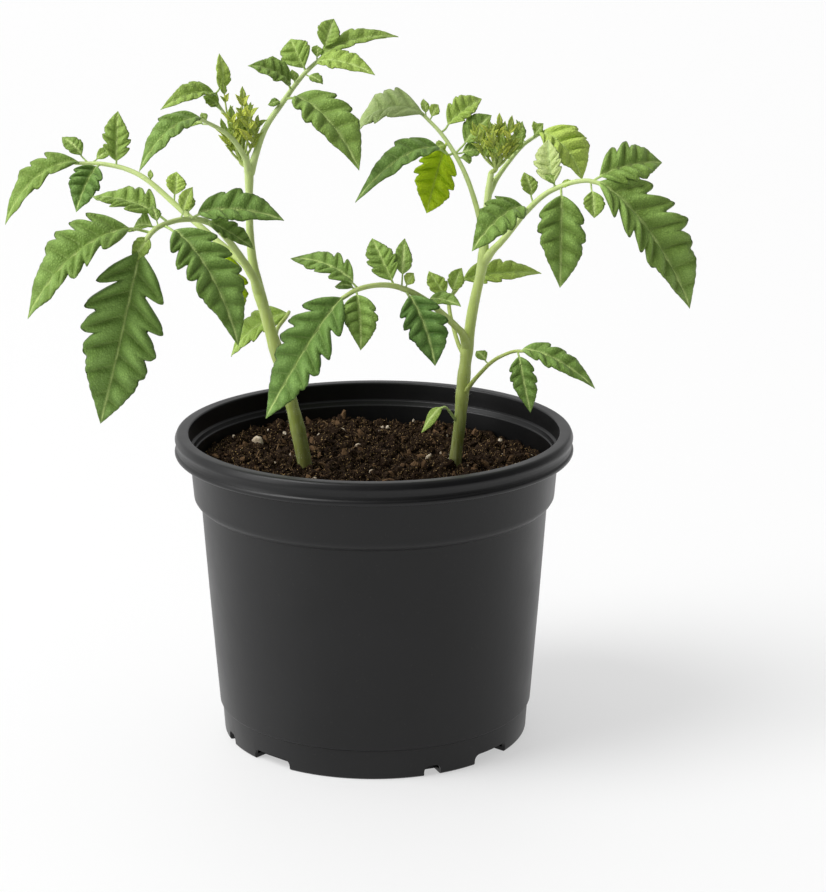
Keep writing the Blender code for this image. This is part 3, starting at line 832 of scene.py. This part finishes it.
# %% [markdown]
# ## Leaflets
# A tomato leaflet is a thin green blade, cut into pointed lobes that lean towards its tip.
# One side vein runs to each lobe, and the blade puffs up between the veins. So the blade is
# built along its veins: every row of points starts on the midrib and slants forward to the
# edge. One rule for the edge gives every lobe, and a second rule gives the quilted surface.
# The plain blade in the frame says where each leaflet starts and ends, which way it faces, how
# it arches and how wide it is.

# %% Leaflet shape rule
EDGE_RISE = 0.34  # powers of the outline: how fast it widens from the stalk
EDGE_FALL = 1.02  # and how slowly it narrows to the tip
VEIN_SLANT = 0.58  # how far a side vein runs forward for each step outwards
LOBE_PEAK = 0.62  # where a lobe's point stands between one notch and the next
LOBED_PART = 0.58  # the share of the blade with lobes; the rest runs smoothly to the tip
# A net is the rows of points for each lobe, and the columns from the midrib out to the edge.
FINE_NET = (13, (0, 0.02, 0.06, 0.14, 0.25, 0.38, 0.52, 0.66, 0.79, 0.90, 1))
SMALL_NET = (7, (0, 0.08, 0.30, 0.60, 0.85, 1))
BLADE_THICK = 0.34 * MM
RIB_WIDTH = 0.38 * MM  # the low ridge over the midrib, from its middle to where it fades
RIB_HEIGHT = 0.25 * MM
SIDE_OFFSET = 0.64  # how far the lobes of one side run ahead of the other side's
NOTCH_DEPTH_BY_TIP = 0.03
TOOTH_DEPTH = 0.04
# The second mark carries the painted light on the cushions and the painted shade in the creases.
LEAF_MARKS = ("vein", "painted_puff_shading", "under", "tint")  # numbers on each point, for the finish to read


def edge_rule(p, lobes, cuts):
    """Half width, 0 to 1, at a place p from the blade's base to its tip. Each cut is a notch."""
    widest = EDGE_RISE / (EDGE_RISE + EDGE_FALL)
    smooth = (p / widest) ** EDGE_RISE * ((1 - p) / (1 - widest)) ** EDGE_FALL
    place = p * lobes / LOBED_PART
    part = place % 1
    if part < LOBE_PEAK:
        lobe = math.sin(part / LOBE_PEAK * math.pi / 2) ** 0.62
    else:
        lobe = math.cos((part - LOBE_PEAK) / (1 - LOBE_PEAK) * math.pi / 2) ** 0.85
    tooth = abs(math.sin(math.pi * (place * 2.5 + 0.2))) ** 0.7
    cut = cuts[min(round(place), lobes)] if place < lobes + 0.5 else NOTCH_DEPTH_BY_TIP
    return smooth * (1 - cut * (1 - lobe) - TOOTH_DEPTH * (1 - tooth))


def vein_distance(p, lobes):
    """How far a place is from the nearest side vein, 0 to 0.5, counted in lobes."""
    return abs((p * lobes / LOBED_PART - LOBE_PEAK + 0.5) % 1 - 0.5)


# %% Reading a blade from the frame
def arch_share(share):
    """How far a leaflet stands off the line from its start to its tip, 0 to 1."""
    return share**0.7 * (1 - share) / 0.3162


class Blade:
    """Where a leaflet lies: its start, its own axes, length, width and arch."""

    def __init__(self, start, tip, up, width, bow=0.1):
        self.start = start
        self.length = np.linalg.norm(tip - start)
        self.ahead = (tip - start) / self.length
        self.up = unit(up - np.dot(up, self.ahead) * self.ahead)
        self.side = np.cross(self.ahead, self.up)
        self.width = width
        self.bow = bow * self.length
        self.fold = None  # how steeply the two halves rise from the midrib, when it isn't left to chance

    def arch(self, share):
        """The height of the midrib over that line."""
        return self.bow * arch_share(share)


def read_blade(node, stalk):
    """The blade that a node of the frame stands for."""
    mesh = merged(node)
    spots = np.array([v.co for v in mesh.verts])
    mesh.free()
    # The base and the tip are the two points furthest apart, and the base is nearer the stalk.
    one = spots[np.linalg.norm(spots - spots.mean(0), axis=1).argmax()]
    other = spots[np.linalg.norm(spots - one, axis=1).argmax()]
    rough, far = sorted((one, other), key=lambda end: np.linalg.norm(nearest_on(stalk, end) - end))
    order = np.argsort((spots - rough) @ unit(far - rough))
    start, point = spots[order[:6]].mean(0), spots[order[-2:]]
    blade = Blade(start, point.mean(0), point[1] - point[0], 0)
    local = (spots - start) @ np.array([blade.ahead, blade.side, blade.up]).T
    middle = np.abs(local[:, 1]) < 1e-4
    rule = arch_share(np.clip(local[middle, 0] / blade.length, 0, 1))
    blade.bow = (local[middle, 2] @ rule) / (rule @ rule)
    if blade.bow < 0:
        blade.up, blade.side, blade.bow = -blade.up, -blade.side, -blade.bow
    blade.width = 2 * np.abs(local[:, 1]).max()
    return blade


# %% [markdown]
# The blade is one closed skin: an upper and a lower sheet a third of a millimetre apart that
# share their edge. Four numbers travel with each point, for the finish to read: how near it is
# to a vein, how far the blade puffs up there, whether it lies below, and how light this whole
# leaflet is, which is partly its own tone and partly painted sunlight. The finish paints light
# on the puffed cushions and shade in the creases between them. The midrib and the short stalk
# are a thin tapering tube under the blade.

# %% Leaflet builder
def notch_cuts(chance, lobes, depth):
    """A depth for each notch: deep and uneven by the stalk, and almost nothing by the tip."""
    return [depth * chance.uniform(0.75, 1.25) * (1.15 - k / lobes) if k else 0.0 for k in range(lobes + 1)]


def blade_points(blade, chance, lobes, depth, stalk_share, puff, net):
    """Rows of points from the left edge over the midrib to the right edge, with their veins."""
    rows_per_lobe, columns = net
    rows = np.linspace(0, 1, max(16, int(rows_per_lobe * lobes / LOBED_PART)) + 1)[:-1]
    rows = rows + (rows[1] - rows[0]) * 0.3
    cuts = {-1: notch_cuts(chance, lobes, depth), 1: notch_cuts(chance, lobes, depth)}
    across = np.array([-c for c in columns[:0:-1]] + list(columns))
    fold, curl = chance.uniform(0.38, 0.6), chance.uniform(0.15, 0.4)
    fold = fold if blade.fold is None else blade.fold
    sway, twist = chance.uniform(-0.035, 0.035), chance.uniform(-0.18, 0.18)
    wave, wave_turn = chance.uniform(0.02, 0.05), chance.uniform(0, 6)
    points, marks = [], []
    for p in rows:
        for c in across:
            half_side = 1 if c > 0 else -1
            # The two sides don't quite match: one runs a little ahead in the middle of the blade.
            q = min(max(p + half_side * SIDE_OFFSET / lobes * p * (1 - p), 0), 0.999)
            half = blade.width / 2 * edge_rule(q, lobes, cuts[half_side])
            u = half * c
            inner = p + VEIN_SLANT * abs(half) / blade.length * abs(c) ** 1.2 * (1 - p * 0.3)
            share = stalk_share + (1 - stalk_share) * min(inner, 1.0)
            gap = vein_distance(q, lobes)
            cushion = math.sin(math.pi * gap) * abs(c) ** 0.5 * (1 - abs(c) ** 3)
            height = 2 * puff * half * cushion
            height += fold * abs(u) - curl * u * u / blade.width
            height += 2 * wave * half * c * c * math.sin(wave_turn + 5.5 * p * math.pi + (2 if c > 0 else 0))
            height += u * math.sin(twist * share * 2)
            height += blade.arch(share)
            side = u + sway * blade.length * 4 * share * (1 - share)
            rib = math.exp(-((u / RIB_WIDTH) ** 2)) * min(1, half / (2 * MM))
            height += RIB_HEIGHT * rib
            along = blade.ahead * share * blade.length
            points.append(blade.start + along + blade.side * side + blade.up * height)
            branch = math.exp(-((gap / 0.05) ** 2)) * (1 - abs(c)) ** 0.35
            # The second mark is the blade's puff, which the finish paints as light on the cushions and shade
            # in the creases.
            marks.append((max(rib, 0.16 * branch), cushion**1.6))
    return np.array(points), marks, len(rows), across


def sheet_normals(points, rows, columns):
    """The direction that the sheet faces at each of its points."""
    grid = points.reshape(rows, columns, 3)
    along, side = np.gradient(grid, axis=0), np.gradient(grid, axis=1)
    normal = np.cross(along, side).reshape(-1, 3)
    return normal / (np.linalg.norm(normal, axis=1)[:, None] + 1e-12)


def add_blade(mesh, blade, chance, lobes, depth, stalk_share, tint, puff=0.21, net=FINE_NET):
    """Adds one closed lobed blade to a mesh in the making."""
    points, marks, rows, across = blade_points(blade, chance, lobes, depth, stalk_share, puff, net)
    columns = len(across)
    normal = sheet_normals(points, rows, columns)
    if (normal @ blade.up).mean() < 0:
        normal = -normal
    layers = [mesh.verts.layers.float[name] for name in LEAF_MARKS]
    lift = np.tile(1 - across**6, rows)[:, None] * BLADE_THICK / 2
    tip = blade.start + blade.ahead * blade.length

    def vert(position, mark, under):
        made = mesh.verts.new(position)
        for layer, value in zip(layers, (mark[0], mark[1], under, tint)):
            made[layer] = value
        return made

    first = vert(points[columns // 2] - blade.ahead * 0.3 * MM, (0.9, 0.5), 0.0)
    last = vert(tip, (0.0, 0.3), 0.0)
    upper, lower = [], []
    for i, (point, mark) in enumerate(zip(points, marks)):
        column = i % columns
        top = vert(point + normal[i] * lift[i], mark, 0.0)
        edge = column in (0, columns - 1)
        upper.append(top)
        lower.append(top if edge else vert(point - normal[i] * lift[i], mark, 1.0))
    for r in range(rows - 1):
        for c in range(columns - 1):
            i, j = r * columns + c, (r + 1) * columns + c
            mesh.faces.new((upper[i], upper[i + 1], upper[j + 1], upper[j]))
            mesh.faces.new((lower[j], lower[j + 1], lower[i + 1], lower[i]))
    end = (rows - 1) * columns
    for c in range(columns - 1):
        mesh.faces.new((upper[end + c], upper[end + c + 1], last))
        mesh.faces.new((last, lower[end + c + 1], lower[end + c]))
        mesh.faces.new((first, upper[c + 1], upper[c]))
        mesh.faces.new((lower[c], lower[c + 1], first))


def add_tube(mesh, route, radii, sides, layers):
    """Adds a closed tapering tube along a route, with fixed numbers on its points."""
    rings, across = [], None
    for i, centre in enumerate(route):
        ahead = unit(route[min(i + 1, len(route) - 1)] - route[max(i - 1, 0)])
        across = np.cross(ahead, (0.31, 0.27, 0.91)) if across is None else across
        across = unit(across - np.dot(across, ahead) * ahead)
        other = np.cross(ahead, across)
        ring = []
        for k in range(sides):
            turn = 2 * math.pi * k / sides
            vert = mesh.verts.new(centre + radii[i] * (across * math.cos(turn) + other * math.sin(turn)))
            for layer, value in layers:
                vert[layer] = value
            ring.append(vert)
        rings.append(ring)
    for near, far in zip(rings, rings[1:]):
        for k in range(sides):
            mesh.faces.new((near[k], near[(k + 1) % sides], far[(k + 1) % sides], far[k]))
    mesh.faces.new(rings[0][::-1])
    mesh.faces.new(rings[-1])


# The second number is the painted light and shade of the puff, held at its middle for a whole tube.
RIB_MARKS = (0.9, 0.5, 0.3, 0.2)
RIB_STEPS = 30
RIB_SIDES = 7


def fixed_marks(mesh, values):
    """The mesh's layers for the leaf marks, each with one value for a whole tube."""
    return [(mesh.verts.layers.float[name], value) for name, value in zip(LEAF_MARKS, values)]


def add_rib(mesh, blade, root, thick, stalk_share):
    """Adds a leaflet's midrib as one thin tube. With a root it begins as the leaflet's own stalk."""
    shares = np.linspace(0, 0.84, 14)  # it fades into the blade before the tip
    route = [
        blade.start + blade.ahead * s * blade.length
        + blade.up * (blade.arch(s) - 0.75 * thick * min(1.0, s / (stalk_share + 0.05)))
        for s in shares
    ]
    radii = [thick * (1 - 0.8 * s) for s in shares]
    if root is not None:
        route = [root, root + (blade.start - root) * 0.3] + route
        radii = [thick * 1.25, thick * 1.05] + radii
    along = np.linspace(0, 1, RIB_STEPS)
    radii = np.interp(along, np.linspace(0, 1, len(radii)), radii)
    add_tube(mesh, smooth_route(np.array(route), RIB_STEPS), radii, RIB_SIDES, fixed_marks(mesh, RIB_MARKS))


def new_leaf_mesh():
    """An empty mesh in the making that can hold the leaf marks."""
    mesh = bmesh.new()
    for name in LEAF_MARKS:
        mesh.verts.layers.float.new(name)
    return mesh


# %% Leaf finish
def leaf_finish(name, dark, light, vein, under, roughness=0.46):
    """A leaf: painted light on its cushions, painted shade in its creases, pale veins, and greyer below."""
    finish, tree, shader = new_finish(name, roughness, Specular_IOR_Level=0.14, Sheen_Weight=0.05)
    place = put(tree, "ShaderNodeTexCoord").outputs["Object"]
    mottle = grain(tree, 150.0, 4.0)
    patchy = ramp(tree, mottle, [(0.30, (0, 0, 0)), (0.72, (1, 1, 1))])
    # Painted light and shade: the blade's puff lightens the cushions and darkens the creases, with random
    # patches mixed in.
    high = math_node(tree, "MULTIPLY_ADD", attribute(tree, "painted_puff_shading"), 1.05)
    tree.links.new(math_node(tree, "MULTIPLY", patchy, 0.30), high.node.inputs[2])
    top = blend_colour(tree, high, dark, light)
    # The tint turns a leaflet towards a lighter, yellower green: partly its own tone, partly painted
    # sunlight.
    sunny = (min(1, 2.1 * light[0]), min(1, 1.6 * light[1]), 1.1 * light[2])
    tinted = blend_colour(tree, attribute(tree, "tint"), top, sunny)
    cells = put(tree, "ShaderNodeTexVoronoi", {"feature": "DISTANCE_TO_EDGE"}, Vector=place, Scale=950.0)
    small = ramp(tree, cells.outputs["Distance"], [(0.0, (1, 1, 1)), (0.16, (0, 0, 0))])
    netted = blend_colour(tree, math_node(tree, "MULTIPLY", small, 0.30), tinted, dark)
    veined = blend_colour(tree, math_node(tree, "MULTIPLY", attribute(tree, "vein"), 0.85), netted, vein)
    both = blend_colour(tree, math_node(tree, "MULTIPLY", attribute(tree, "under"), 0.7), veined, under)
    tree.links.new(both, shader.inputs["Base Color"])
    rough = math_node(tree, "MULTIPLY_ADD", mottle, 0.25)
    rough.node.inputs[2].default_value = roughness - 0.12
    tree.links.new(rough, shader.inputs["Roughness"])
    crinkle = math_node(tree, "MULTIPLY", grain(tree, 330.0, 2.0), 2.2)
    pebble = math_node(tree, "ADD", cells.outputs["Distance"], crinkle)
    tree.links.new(bump(tree, pebble, 0.8, 0.0005), shader.inputs["Normal"])
    return finish


GREEN = leaf_finish("leaf_green", (0.015, 0.076, 0.002), (0.265, 0.455, 0.125), (0.66, 0.82, 0.30),
                    (0.20, 0.32, 0.12))
PALE = leaf_finish("leaf_pale", (0.17, 0.30, 0.10), (0.44, 0.60, 0.30), (0.55, 0.68, 0.32),
                   (0.28, 0.40, 0.18))
# Painted backlight: light shining through a blade is painted into this lighter, yellower green.
PAINTED_BACKLIGHT = leaf_finish("leaf_painted_backlight", (0.30, 0.50, 0.006), (0.48, 0.70, 0.016), (0.60, 0.74, 0.12),
                     (0.36, 0.52, 0.03))
YOUNG = leaf_finish("leaf_young", (0.14, 0.25, 0.025), (0.36, 0.50, 0.09), (0.58, 0.66, 0.28),
                    (0.36, 0.50, 0.12), 0.5)

# %% Leaflets from the frame
LONG_STALKED = {  # these leaflets start where the frame's blade does, at the end of a stalk of their own
    "leaf_a1_left", "leaf_b4_left", "leaf_b4_right", "leaf_b2_left", "leaf_a4_young", "leaf_a1_upper",
}
BLADE_OVER_STALK = 0.06  # how far a terminal leaflet reaches back over its stalk, as a share of its length
ROOT_GAP = 0.15  # where the others start, as a share of the way from the stalk to the frame's blade
# Blades that light shines through carry painted backlight in their colour.
FINISHES = {  # blades that light shines through, and blades seen from their pale side; the rest are green
    "leaf_a2_lower": PAINTED_BACKLIGHT, "leaf_b4_lower": PAINTED_BACKLIGHT, "leaf_b4_terminal": PALE, "leaf_b3_upright": PALE,
}
# Painted sunlight: these leaflets are turned towards the finish's lighter, yellower green.
SUNNY = {  # how light some leaflets are, when it isn't left to chance
    "leaf_b5_terminal": 0.8, "leaf_b2_terminal": 0.7, "leaf_b2_left": 0.6, "leaf_a1_upper": 0.3,
    "leaf_a6_terminal": 0.5, "leaf_b4_right": 0.5, "leaf_a4_terminal": 0.3, "leaf_a4_young": 0.6,
}
LOBE_SIZES = [(45, 4, 0.66), (28, 3, 0.62), (18, 3, 0.50), (0, 2, 0.36)]  # length over, lobes, depth
EVENLY_CUT = 45 * MM  # leaflets longer than this are all cut to their full depth
PALER_FROM, PALER_TO, PALER_BY = 210 * MM, 280 * MM, 0.22  # leaflets near the top are lighter


def leaflet_piece(node):
    """The fine leaflet that stands for one blade of the frame."""
    stalk = stalk_routes[node[:7] + "_stalk"][0]
    blade = read_blade(node, stalk)
    root = nearest_on(stalk, blade.start)
    terminal = node.endswith("terminal")
    if node not in LONG_STALKED:
        tip = blade.start + blade.ahead * blade.length
        if terminal:
            start = place_along(stalk, 1 - BLADE_OVER_STALK * blade.length / steps_along(stalk).sum())
        else:
            start = root + ROOT_GAP * (blade.start - root)
        blade = Blade(start, tip, blade.up, blade.width, blade.bow / blade.length)
    _, lobes, depth = next(row for row in LOBE_SIZES if blade.length / MM >= row[0])
    chance = random.Random(node)
    depth = depth * (1 if blade.length > EVENLY_CUT else chance.uniform(0.45, 1.05))
    mesh = new_leaf_mesh()
    stalk_share = 0.0 if terminal else 0.08
    thick = 0.30 * MM + 0.011 * blade.width
    tint = SUNNY.get(node, chance.uniform(0.0, 0.25) + (0.15 if blade.width < 13 * MM else 0))
    tint = tint + float(np.interp(blade.start[2], [PALER_FROM, PALER_TO], [0, PALER_BY]))
    add_blade(mesh, blade, chance, lobes, depth, stalk_share, tint=tint)
    add_rib(mesh, blade, None if terminal else root, thick, stalk_share)
    piece = finish_piece(node + "_fine", mesh, FINISHES.get(node, GREEN))
    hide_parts(node)
    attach(piece, "root")
    print(f"{node}: {blade.length / MM:.0f} x {blade.width / MM:.0f} mm, arched {blade.bow / MM:.1f} mm")
    return blade


blades = {}
for node in sorted(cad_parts):
    if node.startswith("leaf_") and not node.endswith("_stalk"):
        blades[node] = leaflet_piece(node)
print(len(blades), "leaflets, longest", round(max(b.length for b in blades.values()) / MM), "mm")

# %% [markdown]
# ## Small leaflets
# Between its large leaflets a tomato leaf carries small ones on the same stalk. They are too
# small for the frame, so their places are listed here: how far along the stalk each one stands
# and where its tip is from there.

# %% Small leaflets
SMALL = {  # leaf: (share along the stalk, tip offset in mm, width in mm)
    "a1": [(0.78, (-10, 8, -3), 9), (0.66, (4, 2, 10), 5), (0.82, (-7, -6, -9), 6), (0.80, (-2, 4, 6), 4),
           (0.60, (-1, 3, 8), 5)],
    "a2": [(0.93, (-9, 4, 8), 6), (0.92, (7, 4, 4), 4), (0.60, (0, 2, 4), 2), (0.45, (1, 2, 10), 7)],
    "a3": [(0.85, (-2, 1, 3), 2.5), (0.80, (-9, 6, -1), 5)],
    "a4": [(0.75, (-6, -2, 5), 6)],
    "a5": [(0.97, (4, 3, 12), 8), (0.78, (6, -3, -3), 4), (0.92, (0, 2, 5), 4), (0.66, (-1, 0, 5), 3),
           (0.50, (-5, -2, -1), 3)],
    "b1": [(0.85, (-8, 3, 0), 4), (0.58, (1, 5, 15), 6), (0.56, (3, 1, 5), 4)],
    "b2": [(0.70, (4, 2, 10), 6)],
    "b3": [(0.90, (1, -4, -11), 7), (0.66, (-4, 1, 4), 3), (0.66, (5, -1, 2), 3), (0.45, (-3, 2, 10), 6)],
    "b4": [(0.95, (-1, 2, 6), 3), (0.92, (3, 2, 5), 4), (0.70, (-5, -2, -1), 4), (0.60, (5, 2, -2), 5),
           (0.62, (12, 4, 12), 9), (0.62, (9, 2, 1), 7)],
    "b5": [(0.35, (-2, -1, 7), 3), (0.45, (3, -2, 8), 3.5), (0.58, (1, 1, 9), 3.5), (0.70, (-3, -1, 8), 3),
           (0.82, (4, 1, 5), 3.5), (0.92, (-1, -1, 5), 3)],
    "b6": [(0.45, (-4, 2, 4), 4)],
}
SMALL_SCALE = 1.22  # how much larger than listed they have grown
SMALL_FACE = np.array([0.11, -0.74, 0.66])  # the way their upper sides look
SMALL_BOW = 0.12
SMALL_STALK_SHARE = 0.04
SMALL_PUFF = 0.1


def small_blade(mesh, chance, start, offset, width, tint, fold=None, stalk=0.25, depth=0.18):
    """One small leaflet with its own short stalk, added to a mesh in the making."""
    offset, width = np.array(offset, float), width * MM
    blade = Blade(start + stalk * offset, start + offset, SMALL_FACE, width, SMALL_BOW)
    blade.fold = fold
    lobes = 2 if width < 5 * MM else 3
    add_blade(mesh, blade, chance, lobes, depth, SMALL_STALK_SHARE, puff=SMALL_PUFF, tint=tint, net=SMALL_NET)
    add_rib(mesh, blade, start, 0.2 * MM + 0.02 * width, SMALL_STALK_SHARE)


for leaf, rows in SMALL.items():
    stalk = stalk_routes[f"leaf_{leaf}_stalk"][0]
    chance = random.Random("small " + leaf)
    mesh = new_leaf_mesh()
    for share, offset, width in rows:
        root, reach = place_along(stalk, share), np.array(offset) * SMALL_SCALE * MM
        small_blade(mesh, chance, root, reach, width * SMALL_SCALE, chance.uniform(0.2, 0.7))
    piece = finish_piece(f"leaf_{leaf}_small", mesh, GREEN)
    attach(piece, "root")
print("small leaflets:", sum(len(rows) for rows in SMALL.values()))

# %% [markdown]
# ## Shoot tips
# At the top of each stem the youngest leaves stand in a tuft. Each one is a whole leaf in
# small: a thin stalk with pairs of folded leaflets and one more at its end. The list gives
# where each young leaf ends, measured from the foot of the tuft.

# %% Shoot tips
YOUNG_LEAVES = {  # stem: end of each young leaf in mm, and its number of leaflet pairs
    "a": [((-6, -2, 12), 4), ((-3, -3, 17), 4), ((2, 1, 19), 4), ((6, -1, 14), 4), ((0, 4, 16), 4),
          ((-3, 2, 9), 4), ((4, -3, 20), 3), ((1, -2, 24), 4), ((-6, 0, 26), 3)],
    "b": [((-8, -2, 14), 4), ((-5, 1, 11), 4), ((-3, -3, 15), 4), ((1, 0, 16), 4), ((5, -2, 15), 4),
          ((3, 4, 13), 3), ((8, 2, 14), 3), ((-1, -4, 11), 4), ((2, -3, 9), 3), ((6, -1, 10), 3)],
}
# The second number is the painted light and shade of the puff, held at its middle for the whole tuft.
SHOOT_MARKS = (0.6, 0.5, 0.2, 0.2)
YOUNG_STEPS = 14
CORE_STEPS = 20


def young_leaf(mesh, chance, foot, reach, pairs, marks):
    """A small folded leaf: its stalk, and leaflets that lean towards its end."""
    reach = np.array(reach, float) * MM
    out = np.array([reach[0], reach[1], 0])
    low, high = foot + 0.35 * reach + 0.25 * out, foot + 0.75 * reach + 0.12 * out
    stalk = smooth_route(np.array([foot, low, high, foot + reach]), YOUNG_STEPS)
    add_tube(mesh, stalk, np.linspace(0.55, 0.28, YOUNG_STEPS) * MM, 6, marks)
    ahead = unit(stalk[-1] - stalk[-3])
    side = unit(np.cross(ahead, (0.2, -1, 0.1)))
    for k in range(pairs):
        share = 0.3 + 0.68 * (k + 0.6) / pairs
        for turn in (-1, 1):
            length = chance.uniform(4.0, 7.5) * (1.1 - 0.3 * share) * MM
            lean = unit(ahead * chance.uniform(0.7, 1.1) + side * turn * chance.uniform(0.5, 0.9)
                        + np.array([0, chance.uniform(-0.5, 0.3), 0.2]))
            root, width = place_along(stalk, share), length / MM * chance.uniform(0.32, 0.5)
            tint, fold = chance.uniform(0, 0.8), chance.uniform(0.3, 0.9)
            small_blade(mesh, chance, root, lean * length, width, tint, fold=fold, depth=0.3, stalk=0.1)
    length = chance.uniform(4.0, 6.5) * MM
    tint = chance.uniform(0, 0.5)
    small_blade(mesh, chance, stalk[-1], ahead * length, length / MM * 0.45, tint, fold=0.5, depth=0.35,
                stalk=0.05)


def shoot_tip(key):
    """The tuft of young leaves on one stem, with the stem's own thin end in its middle."""
    node = "shoot_tip_" + key
    low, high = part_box(node)
    foot = np.array([(low.x + high.x) / 2, (low.y + high.y) / 2, low.z - 1 * MM])
    top_of_stem = stem_routes[key][0][-1]
    chance = random.Random(node)
    mesh = new_leaf_mesh()
    marks = fixed_marks(mesh, SHOOT_MARKS)
    for reach, pairs in YOUNG_LEAVES[key]:
        young_leaf(mesh, chance, foot, reach, pairs, marks)
    knots = np.array([top_of_stem - (0, 0, 3 * MM), top_of_stem, foot, foot + (0, 0, 4 * MM)])
    thickest = STEM_TOP_TAPER * stem_routes[key][1][-1]
    add_tube(mesh, smooth_route(knots, CORE_STEPS), np.linspace(thickest, 0.8 * MM, CORE_STEPS), 9, marks)
    piece = finish_piece(node + "_fine", mesh, YOUNG)
    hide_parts(node)
    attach(piece, "root")
    print(node, len(YOUNG_LEAVES[key]), "young leaves,", len(piece.data.polygons), "faces")


for key in YOUNG_LEAVES:
    shoot_tip(key)

# %% [markdown]
# ## Seed leaf
# One of the first two leaves is left, low on the right stem. It has a plain narrow blade with
# no lobes, and its thin stalk arches over before the blade hangs down.

# %% Seed leaf
SEED_STALK_STEPS = 24

seed_start, seed_tip = np.array([27, -11, 137.5]) * MM, np.array([18.8, -17, 128.5]) * MM
seed_root = nearest_on(stem_routes["b"][0], seed_start - (0, 0, 8 * MM))
mesh = new_leaf_mesh()
seed_blade = Blade(seed_start, seed_tip, np.array([-0.4, -0.85, 0.35]), 5.5 * MM, 0.1)
seed_blade.fold = 0.1
add_blade(mesh, seed_blade, random.Random(3), 1, 0.0, 0.02, puff=0.0, tint=0.5, net=SMALL_NET)
add_rib(mesh, seed_blade, None, 0.45 * MM, 0.02)
bend = seed_start + np.array([1.2, 0, 0.1]) * MM
rise = 0.4 * seed_root + 0.6 * bend + (0, 0, 0.6 * MM)
under_blade = seed_start + 0.12 * (seed_tip - seed_start)
seed_stalk = smooth_route(np.array([seed_root, rise, bend, under_blade]), SEED_STALK_STEPS)
add_tube(mesh, seed_stalk, np.linspace(0.70, 0.40, SEED_STALK_STEPS) * MM, 8, fixed_marks(mesh, RIB_MARKS))
piece = finish_piece("seed_leaf_fine", mesh, GREEN)
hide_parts("seed_leaf")
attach(piece, "root")
print("seed leaf from", np.round(seed_root / MM, 1), "mm")


# %% [markdown]
# ## Floor
# The floor is one wide pale square under the pot. It glows a little, so that it stays white
# to the edges of the picture and the pot's shadow on it stays light.

# %% Floor
FLOOR_REACH = 20
FLOOR_GREY = (0.40, 0.40, 0.40, 1)
FLOOR_GLOW = 0.50

corners = [(-1, -1), (1, -1), (1, 1), (-1, 1)]
floor_mesh = bpy.data.meshes.new("floor")
floor_mesh.from_pydata([(x * FLOOR_REACH, y * FLOOR_REACH, 0) for x, y in corners], [], [(0, 1, 2, 3)])
floor = bpy.data.objects.new("floor", floor_mesh)
SCENE.collection.objects.link(floor)
floor_paint, _, _ = new_finish("floor", 0.6, Base_Color=FLOOR_GREY, Emission_Color=(1, 1, 1, 1),
                               Emission_Strength=FLOOR_GLOW)
floor_mesh.materials.append(floor_paint)
print("floor:", 2 * FLOOR_REACH, "metres wide")
